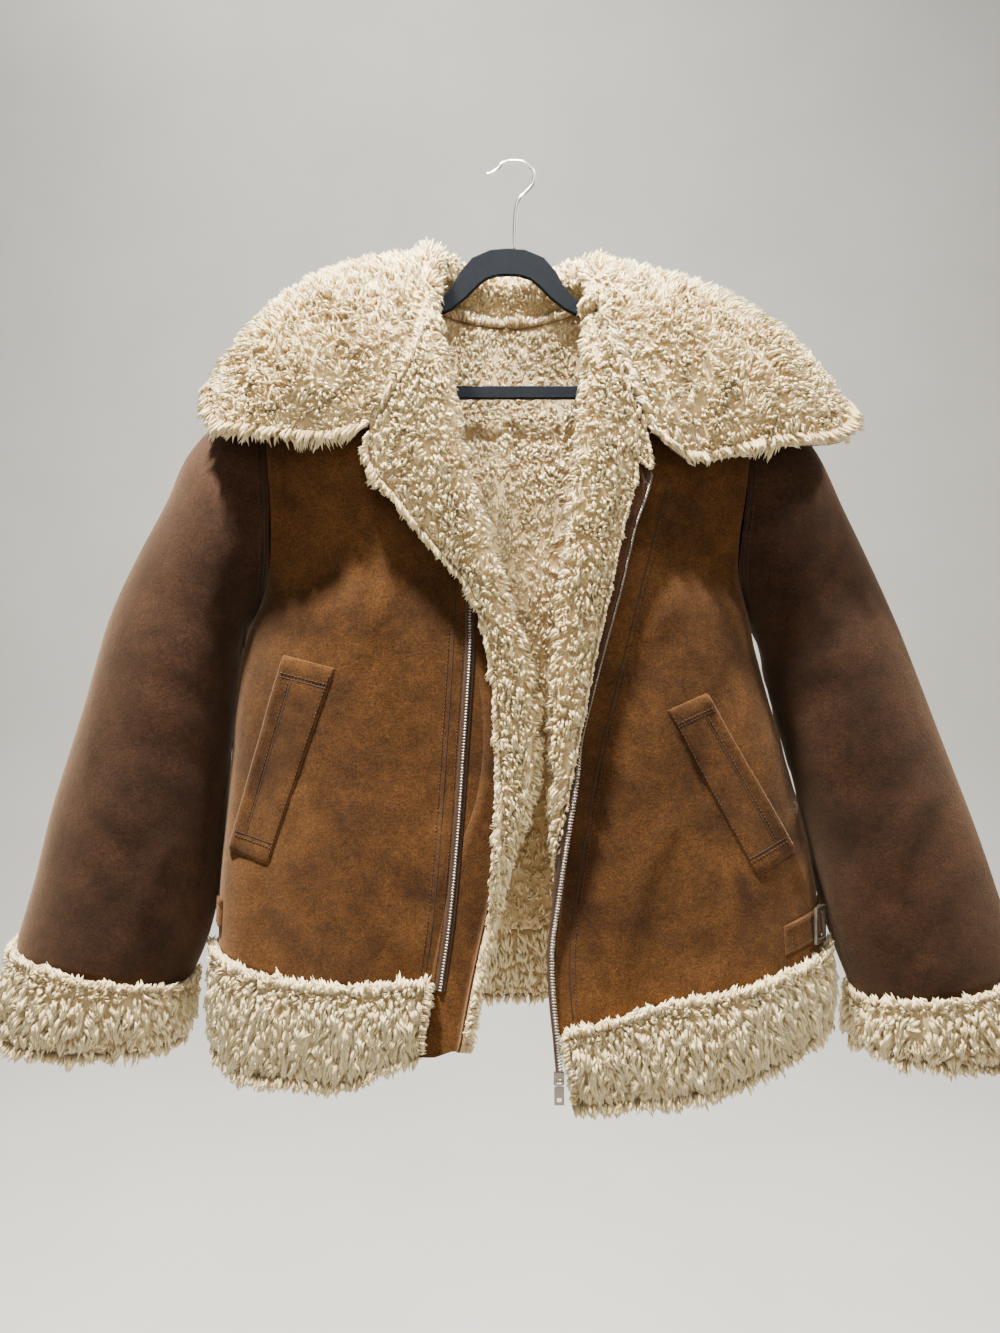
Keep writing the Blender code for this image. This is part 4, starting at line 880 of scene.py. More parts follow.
def lining(side):
    """Fur inside of a front, and on the lapel where it is turned out."""
    rng = np.random.default_rng(50 + side)
    u = np.concatenate((np.linspace(0.0, FLAP_FROM, 12), np.linspace(0.9, 1.0, 4), np.linspace(1.125, 2, 8),
                        np.linspace(2.1, 3, 10)))
    s = np.linspace(-0.1 if side < 0 else 0.0, 1, 72)
    past = np.clip(u - 2, 0, 1)[:, None] * ease(0.945, 0.91, s)[None] * (0.25 if side > 0 else 0.0)
    p = front(side, u[:, None] - past, s[None])
    n = -normals(p, sign=-side)
    p = p + n * (GAP + 0.9 * MM * ease(0.9, 0.85, u)[:, None, None])
    height = pile_of(np.minimum(u, 1)[:, None], p[..., 2], PILE)
    height = height * (0.35 + 0.65 * np.sin(math.pi / 2 * np.clip((3 - u) / 0.6, 0, 1)))[:, None]
    if side > 0:
        fade = ease(-0.62, -0.72, p[..., 2]) * (u[:, None] > 0.9)
        height = height * (1 - 0.8 * fade)
    lean = down_lean(n, 6.0, 60 + side, 0.6)
    weight = np.where(u[:, None] < 0.7, 0.06, np.where(u[:, None] < 0.9, 0.35, 1.0)) * np.ones(p.shape[:2])
    grids = (p, n, height, lean, weight)
    if side < 0:
        cut = int(np.searchsorted(u, FLAP_FROM))
        pi, ni, hi, li, wi = (g[:cut + 1, 7:] for g in grids)
        fur_piece("lining_front_left", "lining_left", FUR_PAINTED_LIGHT, under_fur(pi, ni, hi, 23, share=0.6),
                  [locks(pi, ni, hi, li, 600, rng, wi, wide=1.8),
                   short_locks(pi, ni, hi, li, 900, rng, wi, wide=2.8)])
        p, n, height, lean, weight = (g[cut:] for g in grids)
        fields = [locks(p, n, height * 1.08, lean, 4100, rng, weight, wide=1.75, wave=2.2),
                  short_locks(p, n, height, lean, 4600, rng, weight),
                  edge_locks(p, n, height, "u1", 11.0, 1300, rng, droop=3.0, wide=1.5),
                  edge_locks(p, n, height, "v1", 11.0, 350, rng, low=0.3)]
        fur_piece("lapel_fur_left", "lapel_left", FUR_LIGHT, under_fur(p, n, height, 24), fields)
    else:
        fields = [locks(p, n, height * 1.08, lean, 4500, rng, weight, wide=1.75, wave=2.2),
                  short_locks(p, n, height, lean, 5000, rng, weight),
                  edge_locks(p, n, height, "u1", 6.5, 900, rng, droop=2.5, wide=1.5),
                  edge_locks(p, n, height, "v1", 12.0, 380, rng, low=0.3, lines=slice(len(u) - 16, len(u)))]
        fur_piece("lining_front_right", "lining_right", FUR_LIGHT, under_fur(p, n, height, 25), fields)


def build_back():
    u = spread(50) * 2
    s = spread(58)
    p = back(u[:, None], s[None])
    n = turned(normals(p), (0, 1, 0))
    rim = rim_fall(u / 2, s)
    push = (creases(p, BACK_CREASES) + 0.35 * MM * smooth_noise(p, 50.0, 32)) * rim
    near = p + n * np.minimum(0.0, push)[..., None]
    trees["back"] = ray_tree(cloth("back", near, p + n * (SUEDE * (0.35 + 0.65 * rim) + push)[..., None]))
    u = np.linspace(0, 2, 41)
    s = np.linspace(0, 1, 44)
    p = back(u[:, None], s[None])
    n = turned(normals(p), (0, -1, 0))
    p = p + n * 1.4 * MM
    height = pile_of(np.minimum(u, 2 - u)[:, None], p[..., 2], PILE)
    middle = np.abs(u - 1)[:, None]
    height = height * (1 + 0.55 * ease(0.4, 0.25, middle) * ease(-0.33, -0.25, p[..., 2]))
    shown = np.where(middle < 0.3, 1.0, np.where(middle < 0.5, 0.22, 0.03)) * np.ones(p.shape[:2])
    shown *= 1 + 0.9 * ease(-0.33, -0.27, p[..., 2])
    rng = np.random.default_rng(71)
    lean = down_lean(n, 6.0, 72, 0.5)
    fields = [locks(p, n, height, lean, 5200, rng, shown, wide=1.8, wave=2.2, tuft=6.0),
              short_locks(p, n, height, lean, 6000, rng, shown, wide=2.6),
              edge_locks(p, n, height, "v1", 11.0, 420, rng, droop=0.0, low=0.2, high=1.0,
                         lines=slice(12, 29))]
    fur_piece("lining_back", "lining_back", FUR_PAINTED_LIGHT, under_fur(p, n, height, 26, share=0.55), fields)


def build_band(name, p, n, count, seed, closed=False, out=(7.0, 12.0, 13.0, 10.0),
               inside=(5.0, 9.0, 10.0, 9.0), lean_down=11.0, end=False, inner_share=0.1, inner_weight=1.0):
    """A fur band from a grid whose second direction runs from its lower to its upper edge."""
    nv = p.shape[1]
    v = np.linspace(0, 3, nv)
    high = hermite(range(4), np.array(out) * MM, v)[None] * np.ones(p.shape[:2])
    deep = hermite(range(4), np.array(inside) * MM, v)[None] * np.ones(p.shape[:2])
    if end:
        fall = np.linspace(1, 0, p.shape[0])
        fall = 0.45 + 0.55 * np.sin(math.pi / 2 * np.clip(fall / 0.06, 0, 1))
        high = high * fall[:, None]
    rng = np.random.default_rng(seed)
    lump = 1 + 0.3 * smooth_noise(p, 380.0, seed)
    base = shell(p - n * (deep * 0.55)[..., None], p + n * (high * 0.55 * lump)[..., None], closed)
    weight = np.ones(p.shape[:2])
    lean = down_lean(n, lean_down, seed + 1, 0.45)
    share = np.linspace(0, 1, nv)[None, :, None]
    up = -down_lean(n, 7.0, seed + 5, 0.5)
    lean = lean * (1 - 0.35 * ease(0.35, 0.0, share)) * ease(0.98, 0.7, share) + up * ease(0.84, 1.0, share)
    fields = [locks(p, n, high * 1.1, lean * 1.15, int(count * 0.54), rng, weight, closed, wide=1.8, wave=2.2,
                    tuft=7.0, pull=0.62, vary=(0.65, 1.2)),
              short_locks(p, n, high * 0.9, lean, int(count * 0.6), rng, weight, closed),
              locks(p, -n, deep, down_lean(-n, 8.0, seed + 2), int(count * inner_share), rng,
                    inner_weight * weight, closed, wide=1.9)]
    if closed:
        p, n, high = (np.concatenate((a, a[:1])) for a in (p, n, high))
    fields.append(edge_locks(p, n, high, "v0", 13.0, int(count * 0.14), rng, low=-0.35, high=0.8, droop=0.5,
                             wide=1.6))
    fields.append(edge_locks(p, n, high, "v1", 10.0, int(count * 0.09), rng, low=0.3, high=0.8, droop=-1.0,
                             wide=1.5, inset=1))
    if end:
        fields.append(edge_locks(p, n, high, "u1", 8.0, int(count * 0.06), rng, low=-0.2, high=1.3, droop=3.0,
                                 inset=1))
    fur_piece(name, name, FUR_GREY, base, fields)


def build_hems():
    for side, tag, last, count, seed in ((-1, "left", FLAP_FROM, 6500, 81), (1, "right", 0.968, 6800, 85)):
        u = np.concatenate(((0, 0.004, 0.012, 0.03), np.linspace(0.06, last, 60)))
        low, high = hem(side, u, 2), hem(side, u, 1) - 4 * GAP
        t = np.linspace(0, 1, 15)
        z = low[:, None] + (high - low)[:, None] * t[None]
        # Above the zip's pull the right band comes up to the zip.
        more = 0.02 * ease(-0.838, -0.820, z) * (side > 0)
        p = front_at(side, u[:, None] * (1 + more), z)
        n = normals(p, sign=-side)
        build_band("hem_" + tag, p, n, count, seed, end=True)
    u = np.concatenate(((0, 0.004, 0.012, 0.03), np.linspace(0.06, 1.94, 90), (1.97, 1.988, 1.996, 2)))
    low, high = column(BACK_HEM, 2, u) * MM, column(BACK_HEM, 1, u) * MM - 4 * GAP
    z = low[:, None] + (high - low)[:, None] * np.linspace(0, 1, 15)[None]
    p = back_at(u[:, None], z)
    n = turned(normals(p), (0, 1, 0))
    middle = np.where(np.abs(u - 1) < 0.3, 1.0, 0.05)[:, None]
    build_band("hem_back", p, n, 5300, 89, inner_share=0.22, inner_weight=middle)


def build_sleeve(side):
    tag = "left" if side < 0 else "right"
    table = LEFT_SLEEVE if side < 0 else RIGHT_SLEEVE
    angle = np.linspace(0, 2 * math.pi, 67)[:-1]
    t = np.concatenate((np.linspace(-1, 0, 6)[:-1], np.linspace(0, len(table) - 1.2, 44),
                        len(table) - 1 - np.array((0.14, 0.09, 0.05, 0.02, 0.0))))
    p = sleeve(side, angle[:, None], t[None])
    n = turned(normals(p, closed=True), p - p.mean(axis=0))
    arm = LEFT_ARM_CREASES if side < 0 else RIGHT_ARM_CREASES
    ends = ease(-1, -0.3, t) * ease(len(table) - 1, len(table) - 1.4, t)
    shifted = p.copy()
    shifted[..., 0] += np.where(n[..., 1] > 0, 18 * MM, 0)
    push = (creases(shifted, arm) + 0.4 * MM * smooth_noise(p, 45.0, 33)) * ends[None]
    lip = ease(len(table) - 1, len(table) - 1.12, t)
    out = SUEDE * (0.3 + 0.7 * lip)[None] + push
    name = "sleeve_" + tag
    trees[name] = ray_tree(cloth(name, p - n * 1.6 * MM, p + n * out[..., None], SUEDE_SLEEVE, closed=True))
    cuff = LEFT_CUFF if side < 0 else RIGHT_CUFF
    angle = np.linspace(0, 2 * math.pi, 73)[:-1]
    rows = np.linspace(2, 0.02, 14)
    p = ring_surface(cuff, angle[:, None], rows[None])
    n = turned(normals(p, closed=True), p - p.mean(axis=0))
    build_band("cuff_" + tag, p, n, 5400, 95 + side, closed=True, out=(7.5, 12.0, 12.0, 9.0),
               inside=(5.0, 9.0, 9.0, 7.0), lean_down=9.0, inner_share=0.05)


# ---- sewing, zips and metal

def seen(tree, px, py):
    """Place and normal where the photograph's pixel meets a surface."""
    ray = Vector(((px - IMAGE[0] / 2) / FOCAL_PX, 1.0, -(py - IMAGE[1] / 2) / FOCAL_PX)).normalized()
    hit = tree.ray_cast(Vector(CAMERA), ray)
    if hit[0] is None:
        return None
    normal = hit[1] if hit[1].y < 0 else -hit[1]
    return np.array(hit[0]), np.array(normal)


def laid_line(tree, pixels, smooth=6):
    """A line drawn over a surface along pixels of the photograph."""
    px = np.array(pixels, float)
    length = run_of(px)
    count = max(2, int(length[-1] / LINE_STEP_PX))
    at = np.linspace(0, length[-1], count)
    dense = hermite(length, px, at) if len(px) > 2 else px[0] + (px[1] - px[0]) * (at / length[-1])[:, None]
    found = [f for f in (seen(tree, *q) for q in dense) if f is not None]
    points, nn = (smoothed(np.array(rows), smooth) for rows in zip(*found))
    return points, unit(nn)


def beside(pixels, shift):
    """Pixels of a line moved sideways."""
    return [(x + shift, y) for x, y in pixels]


def tube(points, radius, sides, flat=1.0, nn=None):
    """A closed tube along points. flat squeezes it along the normals nn."""
    points = np.asarray(points, float)
    d = unit(np.gradient(points, axis=0))
    if nn is None:
        nn = unit(np.cross(d, np.array((0.13, 1.0, 0.07))))
    e1 = unit(nn - d * np.einsum("ij,ij->i", nn, d)[:, None])
    e2 = np.cross(d, e1)
    radius = np.broadcast_to(radius, (len(points),))
    rings = []
    for k in range(sides):
        a = 2 * math.pi * k / sides
        rings.append(points + (e1 * math.cos(a) * flat + e2 * math.sin(a)) * radius[:, None])
    p = np.stack(rings, axis=1)
    nu = len(points)
    verts = np.concatenate((p.reshape(-1, 3), points[:1], points[-1:]))
    quads, tris = [], []
    for i in range(nu - 1):
        for k in range(sides):
            m = (k + 1) % sides
            quads.append((i * sides + k, i * sides + m, (i + 1) * sides + m, (i + 1) * sides + k))
    for k in range(sides):
        m = (k + 1) % sides
        tris.append((m, k, nu * sides))
        tris.append(((nu - 1) * sides + k, (nu - 1) * sides + m, nu * sides + 1))
    return verts, np.array(quads), np.array(tris)


class Joined:
    """Many small closed meshes gathered into one."""

    def __init__(self):
        self.verts, self.quads, self.tris, self.off = [], [], [], 0

    def put(self, verts, quads, tris=None):
        self.verts.append(verts)
        self.quads.append(np.asarray(quads) + self.off)
        if tris is not None:
            self.tris.append(tris + self.off)
        self.off += len(verts)

    def make(self, name, mat, slot, nodes=()):
        tris = np.concatenate(self.tris) if self.tris else None
        add(name, np.concatenate(self.verts), np.concatenate(self.quads), tris, mat, nodes)


def run_of(points):
    """Length along a line up to each of its points."""
    return np.concatenate(([0], np.cumsum(np.linalg.norm(np.diff(points, axis=0), axis=1))))


def stitches(joined, points, nn, pitch=3.4, length=2.5, radius=0.34):
    """Short raised stitches along a line."""
    run = run_of(points)
    for k in range(int(run[-1] / (pitch * MM))):
        mid = (k + 0.5) * pitch * MM
        places = []
        for e, high in ((-0.5, -0.25), (0.0, 1.0), (0.5, -0.25)):
            at = np.clip(mid + e * length * MM, 0, run[-1])
            places.append(between(at, run, points) + between(at, run, nn) * (0.25 + 0.3 * high) * MM)
        joined.put(*tube(places, radius * MM * np.array((0.6, 1, 0.6)), sides=4))


# Painted shadow: a thin flattened dark tube along a seam, standing for the shade in its groove.
def seam(joined, points, nn, radius=0.55):
    joined.put(*tube(points + nn * 0.05 * MM, radius * MM, sides=4, flat=0.6, nn=nn))


def tooth(joined, at, along, across, out, length=3.1, high=2.1):
    """One zip tooth: a block with a narrower head."""
    shape = ((0.0, 1.0, 1.0), (0.55, 1.0, 1.0), (0.78, 0.72, 0.8), (1.0, 0.62, 0.6))
    verts = []
    for t, w, h in shape:
        for a, b in ((-1, -1), (1, -1), (1, 1), (-1, 1)):
            verts.append(at + across * t * length * MM + along * a * w * TOOTH_WIDE / 2 * MM
                         + out * b * h * high / 2 * MM)
    quads = []
    for k in range(3):
        for c in range(4):
            d = (c + 1) % 4
            quads.append((4 * k + c, 4 * k + d, 4 * k + 4 + d, 4 * k + 4 + c))
    quads += [(3, 2, 1, 0), (12, 13, 14, 15)]
    joined.put(np.array(verts), quads)


def tooth_places(line, *fields):
    """Places a tooth's pitch apart on a line, the unit fields there and the line's direction."""
    run = run_of(line)
    mids = between(np.arange(TOOTH_PITCH / 2, run[-1], TOOTH_PITCH), run, line)
    share = np.linspace(0, 1, len(mids))
    read = [unit(between(share, np.linspace(0, 1, len(f)), f)) for f in fields]
    return zip(mids, *read, unit(np.gradient(mids, axis=0)))


# The right tooth row in the photograph: row, column.
RIGHT_TEETH_PX = ((430, 662), (470, 653), (530, 637), (590, 622), (650, 607), (710, 592), (775, 577),
                  (840, 566), (900, 557), (945, 551), (985, 552), (1030, 556), (1075, 560))
# Lines in the photograph: column, row.
LEFT_ZIP_PX = ((473, 588), (471, 600), (470, 650), (467, 700), (463, 760), (459, 820), (454, 880), (449, 930),
               (441, 985), (440, 992))
LEFT_PLACKET_PX = ((452, 470), (455, 600), (453, 650), (450, 700), (446, 760), (442, 820), (437, 880),
                   (432, 930), (424, 982))
RIGHT_PLACKET_PX = ((668, 480), (656, 530), (641, 590), (626, 650), (611, 710), (596, 775), (585, 840),
                    (576, 900), (570, 945), (570, 985), (573, 1020))
FINE = {"pitch": 3.0, "length": 2.1, "radius": 0.28}    # the stitches along the zips


def build_left_zip(threads, seam_shades):
    tree = trees["left"]
    points, nn = laid_line(tree, LEFT_ZIP_PX, smooth=60)
    beside_it = np.cross(unit(np.gradient(points, axis=0)), nn)
    shares = np.linspace(-4.4, 4.4, 7)
    p = points[:, None] + beside_it[:, None] * shares[None, :, None] * MM
    n = np.repeat(nn[:, None], len(shares), axis=1)
    verts, quads = shell(p + n * 0.1 * MM, p + n * MM)
    add("zip_left_tape", verts, quads, None, TAPE, ["zip_left"])
    teeth = Joined()
    for at, out, along in tooth_places(points, nn):
        across = np.cross(along, out)
        tooth(teeth, at + out * 1.7 * MM - across * 1.5 * MM, along, across, out)
    teeth.make("zip_left_teeth", TEETH, "zip_metal")
    seam(seam_shades, *laid_line(tree, LEFT_PLACKET_PX))
    stitches(threads, *laid_line(tree, beside(LEFT_PLACKET_PX, -5)))
    stitches(threads, *laid_line(tree, beside(LEFT_ZIP_PX[1:-1], -7.5)), **FINE)


def build_right_zip(threads, seam_shades):
    tree = trees["right"]
    s = np.linspace(0.0, 0.995, 190)
    end, inner = front(1, 3.0, s), front(1, 2.9, s)
    out = unit(end - inner)
    # Below the front's border the zip hangs on down to its slider.
    down, slider_y = 16, -118 * MM
    more = np.linspace(end[0, 2] - 39 * MM, end[0, 2] - 2 * MM, down)
    more = np.stack((np.full(down, end[0, 0]), np.linspace(slider_y, end[0, 1], down), more), axis=1)
    end = np.concatenate((more, end))
    out = np.concatenate((np.repeat(out[:1], down, axis=0), out))
    keep = end[:, 2] < COLLAR_COVERS_Z
    end, out = end[keep], out[keep]
    z = end[:, 2]
    deep = end[:, 1] - CAMERA[1]
    py = IMAGE[1] / 2 - (z - CAMERA[2]) / deep * FOCAL_PX
    px = hermite([r[0] for r in RIGHT_TEETH_PX], [r[1] for r in RIGHT_TEETH_PX], py)
    seen_x = (px - IMAGE[0] / 2) * deep / FOCAL_PX + CAMERA[0]
    lower = ease(-0.54, -0.60, z)[:, None]
    line = end + out * 3.4 * MM
    line[:, 0] += ((seen_x - line[:, 0]) * lower[:, 0])
    # The row stands before the front's border, and goes back to run through the slider, behind the pull.
    line[:, 1] -= (3.0 - 4.4 * ease(-0.810, -0.825, z)) * MM * lower[:, 0]
    out = unit(out * (1 - lower) + np.array((1.0, -0.12, 0.0)) * lower)
    line, out = smoothed(line, 4), smoothed(out, 4)
    nn = unit(np.cross(unit(np.gradient(line, axis=0)), out))
    nn *= np.sign(-nn[:, 1:2])
    shares = np.array((-9.5, -9.2, -7.0, -5.0, -3.0, -0.8, 0.0, 0.2))
    narrow = 1 - 0.62 * ease(-0.60, -0.72, z)
    p = line[:, None] + out[:, None] * (shares[None] * narrow[:, None] * MM)[..., None]
    n = np.repeat(nn[:, None], len(shares), axis=1)
    round_it = np.array((0.2, 0.8, 1.15, 1.3, 1.15, 1.0, 0.8, 0.2)) * MM
    verts, quads = shell(p - n * 0.5 * MM, p + n * round_it[None, :, None])
    add("zip_right_tape", verts, quads, None, TAPE, ["zip_right"])
    wide = z > -0.66
    for off in (-5.6, -6.6):
        seam(seam_shades, (line + out * off * MM + nn * 1.1 * MM)[wide], nn[wide], radius=0.35)
    stitches(threads, (line + out * -6.1 * MM + nn * 1.2 * MM)[wide], nn[wide], **FINE)
    teeth = Joined()
    for at, up, across, along in tooth_places(line, nn, out):
        tooth(teeth, at - across * 1.3 * MM + up * 0.6 * MM, along, across, up, length=4.2, high=2.6)
    teeth.make("zip_right_teeth", TEETH, "zip_metal")
    seam(seam_shades, *laid_line(tree, RIGHT_PLACKET_PX))
    stitches(threads, *laid_line(tree, beside(RIGHT_PLACKET_PX, 5)))


def build_pocket(side, threads, seam_shades):
    tag = "left" if side < 0 else "right"
    a, b, c, d = (np.array(k, float) * MM for k in (LEFT_POCKET if side < 0 else RIGHT_POCKET))

    def struck(tree, s, t):
        """The x and z of a share of the welt, and what a ray from the front meets there."""
        x, z = (a + (b - a) * s) * (1 - t) + (d + (c - d) * s) * t
        return x, z, tree.ray_cast(Vector((x, -1, z)), Vector((0, 1, 0)))

    s, t = spread(12, rim=0.05), spread(40, rim=0.02)
    points = np.zeros((len(s), len(t), 3))
    for i, si in enumerate(s):
        for j, tj in enumerate(t):
            x, z, hit = struck(trees[tag], si, tj)
            points[i, j] = hit[0] if hit[0] is not None else (x, -0.1, z)
    for axis in (0, 1) * 4:
        points[..., 1] = smoothed(points[..., 1], 1, axis)
    n = normals(points)
    n *= np.sign(-n[..., 1:2])
    lip = 2.0 * np.exp(-((s - 0.06) / 0.16) ** 2)[:, None]
    rim = rim_fall(s, t, 0.05)
    band = 0.35 * (np.exp(-((t - 0.10) / 0.02) ** 2) + np.exp(-((t - 0.90) / 0.02) ** 2))[None]
    high = (0.3 + (2.3 + lip - band) * rim) * MM
    welt = ray_tree(cloth("pocket_" + tag, points + n * 0.05 * MM, points + n * high[..., None]))

    def on_welt(start, stop):
        hits = [struck(welt, *(start + (stop - start) * k))[2] for k in np.linspace(0, 1, 50)]
        places, nn = (np.array([hit[part] for hit in hits if hit[0] is not None]) for part in (0, 1))
        nn = unit(nn)
        return places, nn * np.sign(-nn[:, 1:2])

    for s0, t0, s1, t1 in ((0.24, 0.12, 0.24, 0.88), (0.04, 0.085, 0.96, 0.085), (0.04, 0.915, 0.96, 0.915),
                           (0.94, 0.04, 0.94, 0.96)):
        stitches(threads, *on_welt(np.array((s0, t0)), np.array((s1, t1))))
    for s0, t0, s1, t1 in ((0.30, 0.105, 0.30, 0.895), (0.03, 0.105, 0.97, 0.105),
                           (0.03, 0.895, 0.97, 0.895)):
        seam(seam_shades, *on_welt(np.array((s0, t0)), np.array((s1, t1))), radius=0.45)


def farthest(walls, start, direction):
    """The outermost place that a ray from inside meets, through up to three layers of each wall."""
    best = None
    for tree in walls:
        at, far = start, None
        for _ in range(3):
            hit = tree.ray_cast(at, direction)
            if hit[0] is None:
                break
            far = hit[0]
            at = hit[0] + direction * 0.0002
        if far is not None and (best is None or (far - start).length > (best - start).length):
            best = far
    return best if best is not None else start + direction * 0.07


def build_straps(threads):
    # Columns: side, name, first and last angle round the side, first and last height in mm.
    rows = ((-1, "left", 22, -48, -716, -712), (1, "right", 52, -40, -733, -706))
    for side, tag, a0, a1, z0, z1 in rows:
        heart_x, heart_y = side * STRAP_HEART[0], STRAP_HEART[1]
        angles = np.linspace(a0, a1, 49)
        heights = np.concatenate(((-STRAP_HALF, -12.6, -11.8), np.linspace(-10, 10, 9),
                                  (11.8, 12.6, STRAP_HALF)))
        points = np.zeros((len(angles), len(heights), 3))
        for i, ang in enumerate(angles):
            z = (z0 + (z1 - z0) * i / (len(angles) - 1)) * MM
            direction = Vector((side * math.cos(math.radians(ang)), -math.sin(math.radians(ang)), 0))
            for j, h in enumerate(heights):
                start = Vector((heart_x, heart_y, z + h * MM))
                points[i, j] = farthest((trees[tag], trees["back"]), start, direction)
        reach = np.linalg.norm(points[..., :2] - np.array((heart_x, heart_y)), axis=-1)
        smooth = reach
        for axis in (0, 1) * 10:
            smooth = smoothed(smooth, 1, axis)
        d = np.stack([side * np.cos(np.radians(angles)), -np.sin(np.radians(angles)), 0 * angles], axis=-1)
        points = points + d[:, None] * (np.maximum(smooth, reach) - reach)[..., None]
        n = normals(points)
        n *= np.sign((n * d[:, None]).sum(axis=-1, keepdims=True))
        rim = rim_fall(np.linspace(0, 1, len(angles)), (heights + STRAP_HALF) / (2 * STRAP_HALF), 0.05)
        cloth("strap_" + tag, points + n * 0.4 * MM, points + n * ((0.9 + 1.7 * rim) * MM)[..., None])
        for j in (3, len(heights) - 4):
            stitches(threads, points[:, j] + n[:, j] * 2.5 * MM, n[:, j])
        for i in (3, 13):
            stitches(threads, points[i, 2:-2] + n[i, 2:-2] * 2.5 * MM, n[i, 2:-2])


def build_arm_seams(threads, seam_shades):
    # The pixels follow the seam that runs down the inner side of each sleeve.
    for side, tag, pixels in ((-1, "left", ((247, 610), (242, 680), (232, 750), (214, 850), (190, 960))),
                              (1, "right", ((757, 650), (768, 720), (790, 800), (822, 890), (850, 960)))):
        tree = trees["sleeve_" + tag]
        for facing in (-1, 1):
            angle = np.linspace(0.12, math.pi - 0.25, 70) * (1 if facing < 0 else -1)
            n = unit(np.array([(side * 0.3, facing, math.cos(a) * 0.8) for a in angle]))
            found = []
            for row in (sleeve(side, angle, -0.93), sleeve(side, angle, -0.80)):
                hits = [tree.ray_cast(Vector(x + m * 0.03), Vector(-m))[0] for x, m in zip(row, n)]
                found.append(np.array([x + m * SUEDE if hit is None else hit
                                       for hit, x, m in zip(hits, row, n)]))
            seam(seam_shades, found[0], n, radius=0.7)
            stitches(threads, found[1], n)
        seam(seam_shades, *laid_line(tree, pixels), radius=0.6)


def build_facing():
    """The dark strip between the fur and the right zip."""
    s = np.linspace(0.0, 1.0, 110)
    u = np.linspace(2.72, 2.985, 6)
    p = front(1, u[:, None], s[None])
    n = -normals(p, sign=-1)
    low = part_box("facing_right")[0]
    keep = (p[3, :, 2] > low.z) & (p[3, :, 2] < COLLAR_COVERS_Z)
    p, n = p[:, keep], n[:, keep]
    p = p + n * GAP
    cloth("facing_right", p, p + n * 2.2 * MM, SUEDE_DARK)


def build_hardware():
    rows = np.array([(x * MM, 0, z * MM) for x, z in HOOK_PATH])
    path = hermite(range(len(rows)), rows, np.linspace(0, len(rows) - 1, 120))
    radius = np.full(len(path), HOOK_WIRE)
    radius[0] *= 0.8
    wire = Joined()
    wire.put(*tube(path, radius, sides=16, nn=np.tile((0.0, 1.0, 0.0), (len(path), 1))))
    wire.make("hook_wire", CHROME, "chrome", ["hanger_hook"])
    for name, mat in (("hanger_arms", FLOCK), ("hanger_bar", FLOCK), ("zip_slider", TEETH),
                      ("zip_pull", TEETH), ("buckle_left", BUCKLE), ("buckle_right", BUCKLE)):
        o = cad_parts[name]
        o.data.materials.clear()
        o.data.materials.append(mat)
        soft = o.modifiers.new("soft_edges", "BEVEL")
        soft.width = 1.1 * MM if name.startswith("hanger") else 0.3 * MM
        soft.segments = 3
        soft.limit_method = "ANGLE"
        soft.angle_limit = math.radians(25)
        soft.harden_normals = False


build_collar()
for side in (-1, 1):
    build_front(side)
    lining(side)
    build_sleeve(side)
build_back()
build_hems()
threads, seam_shades = Joined(), Joined()
build_left_zip(threads, seam_shades)
build_right_zip(threads, seam_shades)
for side in (-1, 1):
    build_pocket(side, threads, seam_shades)
build_straps(threads)
build_arm_seams(threads, seam_shades)
build_facing()
build_hardware()
threads.make("stitching", THREAD, "suede_dark")
seam_shades.make("seam_shade_lines", SEAM_SHADE, "suede_dark")

# ---- floor, light and camera

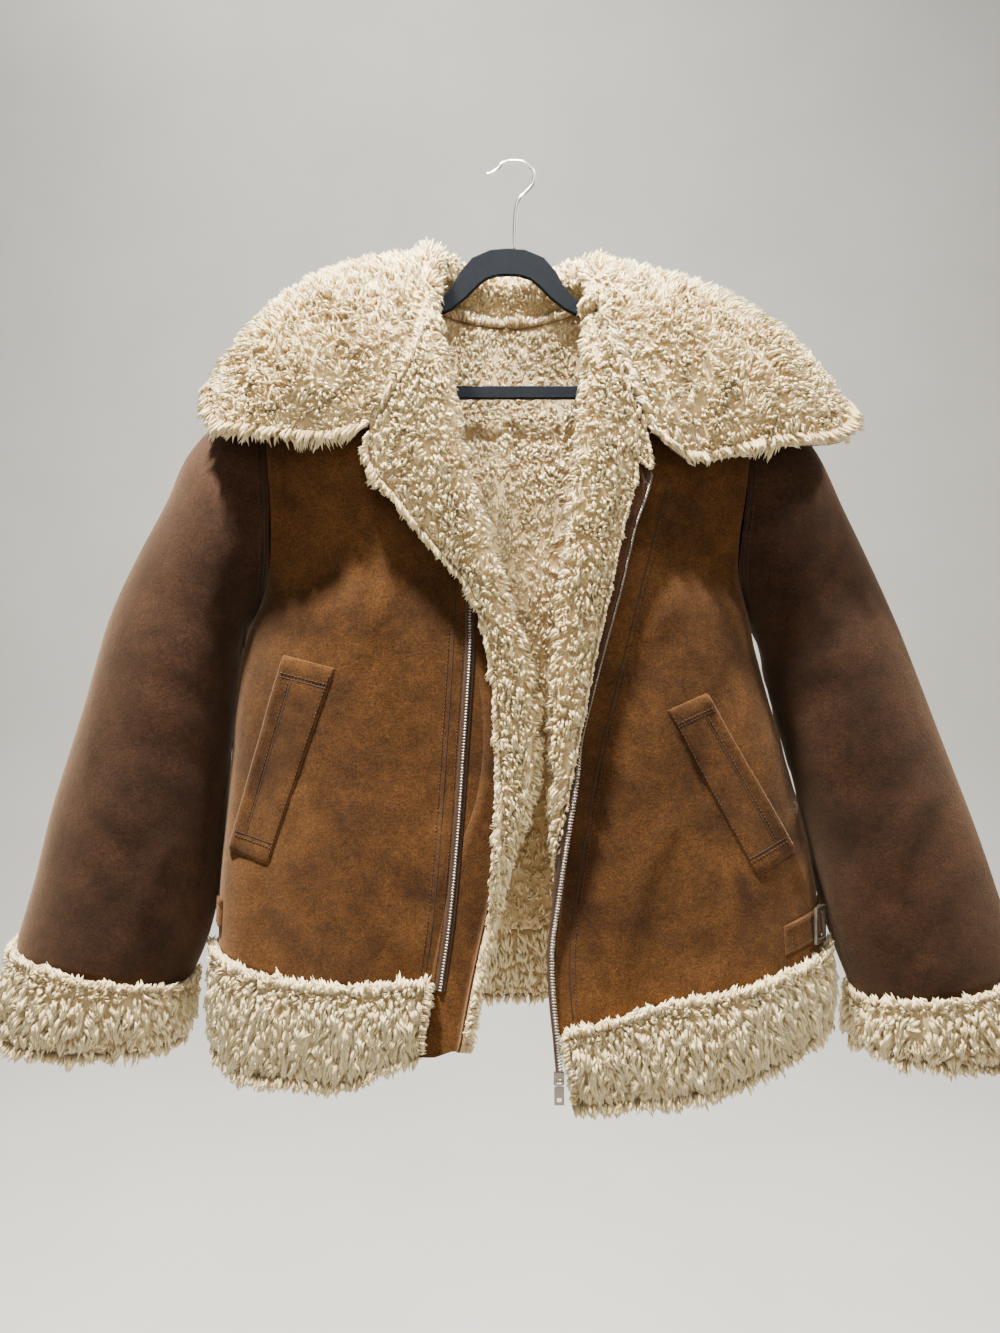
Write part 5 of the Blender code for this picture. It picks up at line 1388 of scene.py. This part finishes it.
def stage_floor():
    """A pale floor that curves up to a pale backdrop, well behind the jacket."""
    floor_z, bend, wall_y, wide = -1.62, 1.0, 3.2, 6.0
    path = [(-6.0, floor_z), (-2.0, floor_z), (wall_y - bend, floor_z)]
    for k in range(1, 13):
        a = math.pi / 2 * k / 12
        path.append((wall_y - bend + bend * math.sin(a), floor_z + bend * (1 - math.cos(a))))
    path.append((wall_y, 4.0))
    verts = [(x, y, z) for y, z in path for x in (-wide, wide)]
    faces = [(2 * k, 2 * k + 1, 2 * k + 3, 2 * k + 2) for k in range(len(path) - 1)]
    mesh = bpy.data.meshes.new("floor")
    mesh.from_pydata(verts, [], faces)
    mesh.shade_smooth()
    floor = bpy.data.objects.new("floor", mesh)
    bpy.context.scene.collection.objects.link(floor)
    m, tree, shader = node_material("floor_paint")
    tone = ramp_node(tree, noise_node(tree, 2.0), ((0.3, (0.47, 0.455, 0.425)), (0.7, (0.51, 0.495, 0.465))))
    tree.links.new(tone, shader.inputs["Base Color"])
    shader.inputs["Roughness"].default_value = 0.95
    mesh.materials.append(m)


def area_light(name, at, aim, size, power, colour=(1, 1, 1), spread=180):
    data = bpy.data.lights.new(name, "AREA")
    data.shape = "RECTANGLE"
    data.size, data.size_y = size
    data.energy = power
    data.color = colour
    data.spread = math.radians(spread)
    o = bpy.data.objects.new(name, data)
    o.location = at
    o.rotation_euler = (Vector(aim) - Vector(at)).to_track_quat("-Z", "Y").to_euler()
    bpy.context.scene.collection.objects.link(o)


stage_floor()
MIDDLE = (0.0, 0.0, -0.45)
area_light("key", (-0.52, -0.47, 1.42), MIDDLE, (0.18, 0.15), 300.0, (1.0, 0.965, 0.90))
area_light("second", (1.15, -0.46, 1.10), MIDDLE, (0.20, 0.18), 48.0, (1.0, 0.97, 0.92))
area_light("neck", (0.02, -1.1, 0.75), (0.0, 0.02, -0.18), (0.16, 0.16), 0.8, (1.0, 0.97, 0.92), spread=15)
area_light("fill", (0.3, -2.4, 0.3), MIDDLE, (2.0, 2.0), 18.0, (1.0, 0.99, 0.97))
area_light("back_key", (0.9, 1.9, 1.3), MIDDLE, (1.4, 1.4), 44.0)
area_light("back_fill", (-1.8, 1.4, 0.2), MIDDLE, (1.4, 1.4), 16.0)
area_light("wall_wash", (-0.5, 1.4, 3.2), (0.0, 3.2, 0.3), (3.0, 0.6), 135.0, (1.0, 0.985, 0.95))
world = bpy.data.worlds.new("pale")
bpy.context.scene.world = world
world.use_nodes = True
set_inputs(world.node_tree.nodes["Background"], {"Color": (0.80, 0.79, 0.76, 1), "Strength": 0.36})

camera_data = bpy.data.cameras.new("camera")
camera_data.sensor_width = SENSOR
camera_data.sensor_fit = "AUTO"
camera_data.lens = SENSOR * FOCAL_PX / IMAGE[1]
camera = bpy.data.objects.new("camera", camera_data)
camera.location = CAMERA
camera.rotation_euler = (math.radians(90), 0, 0)
bpy.context.scene.collection.objects.link(camera)
bpy.context.scene.camera = camera
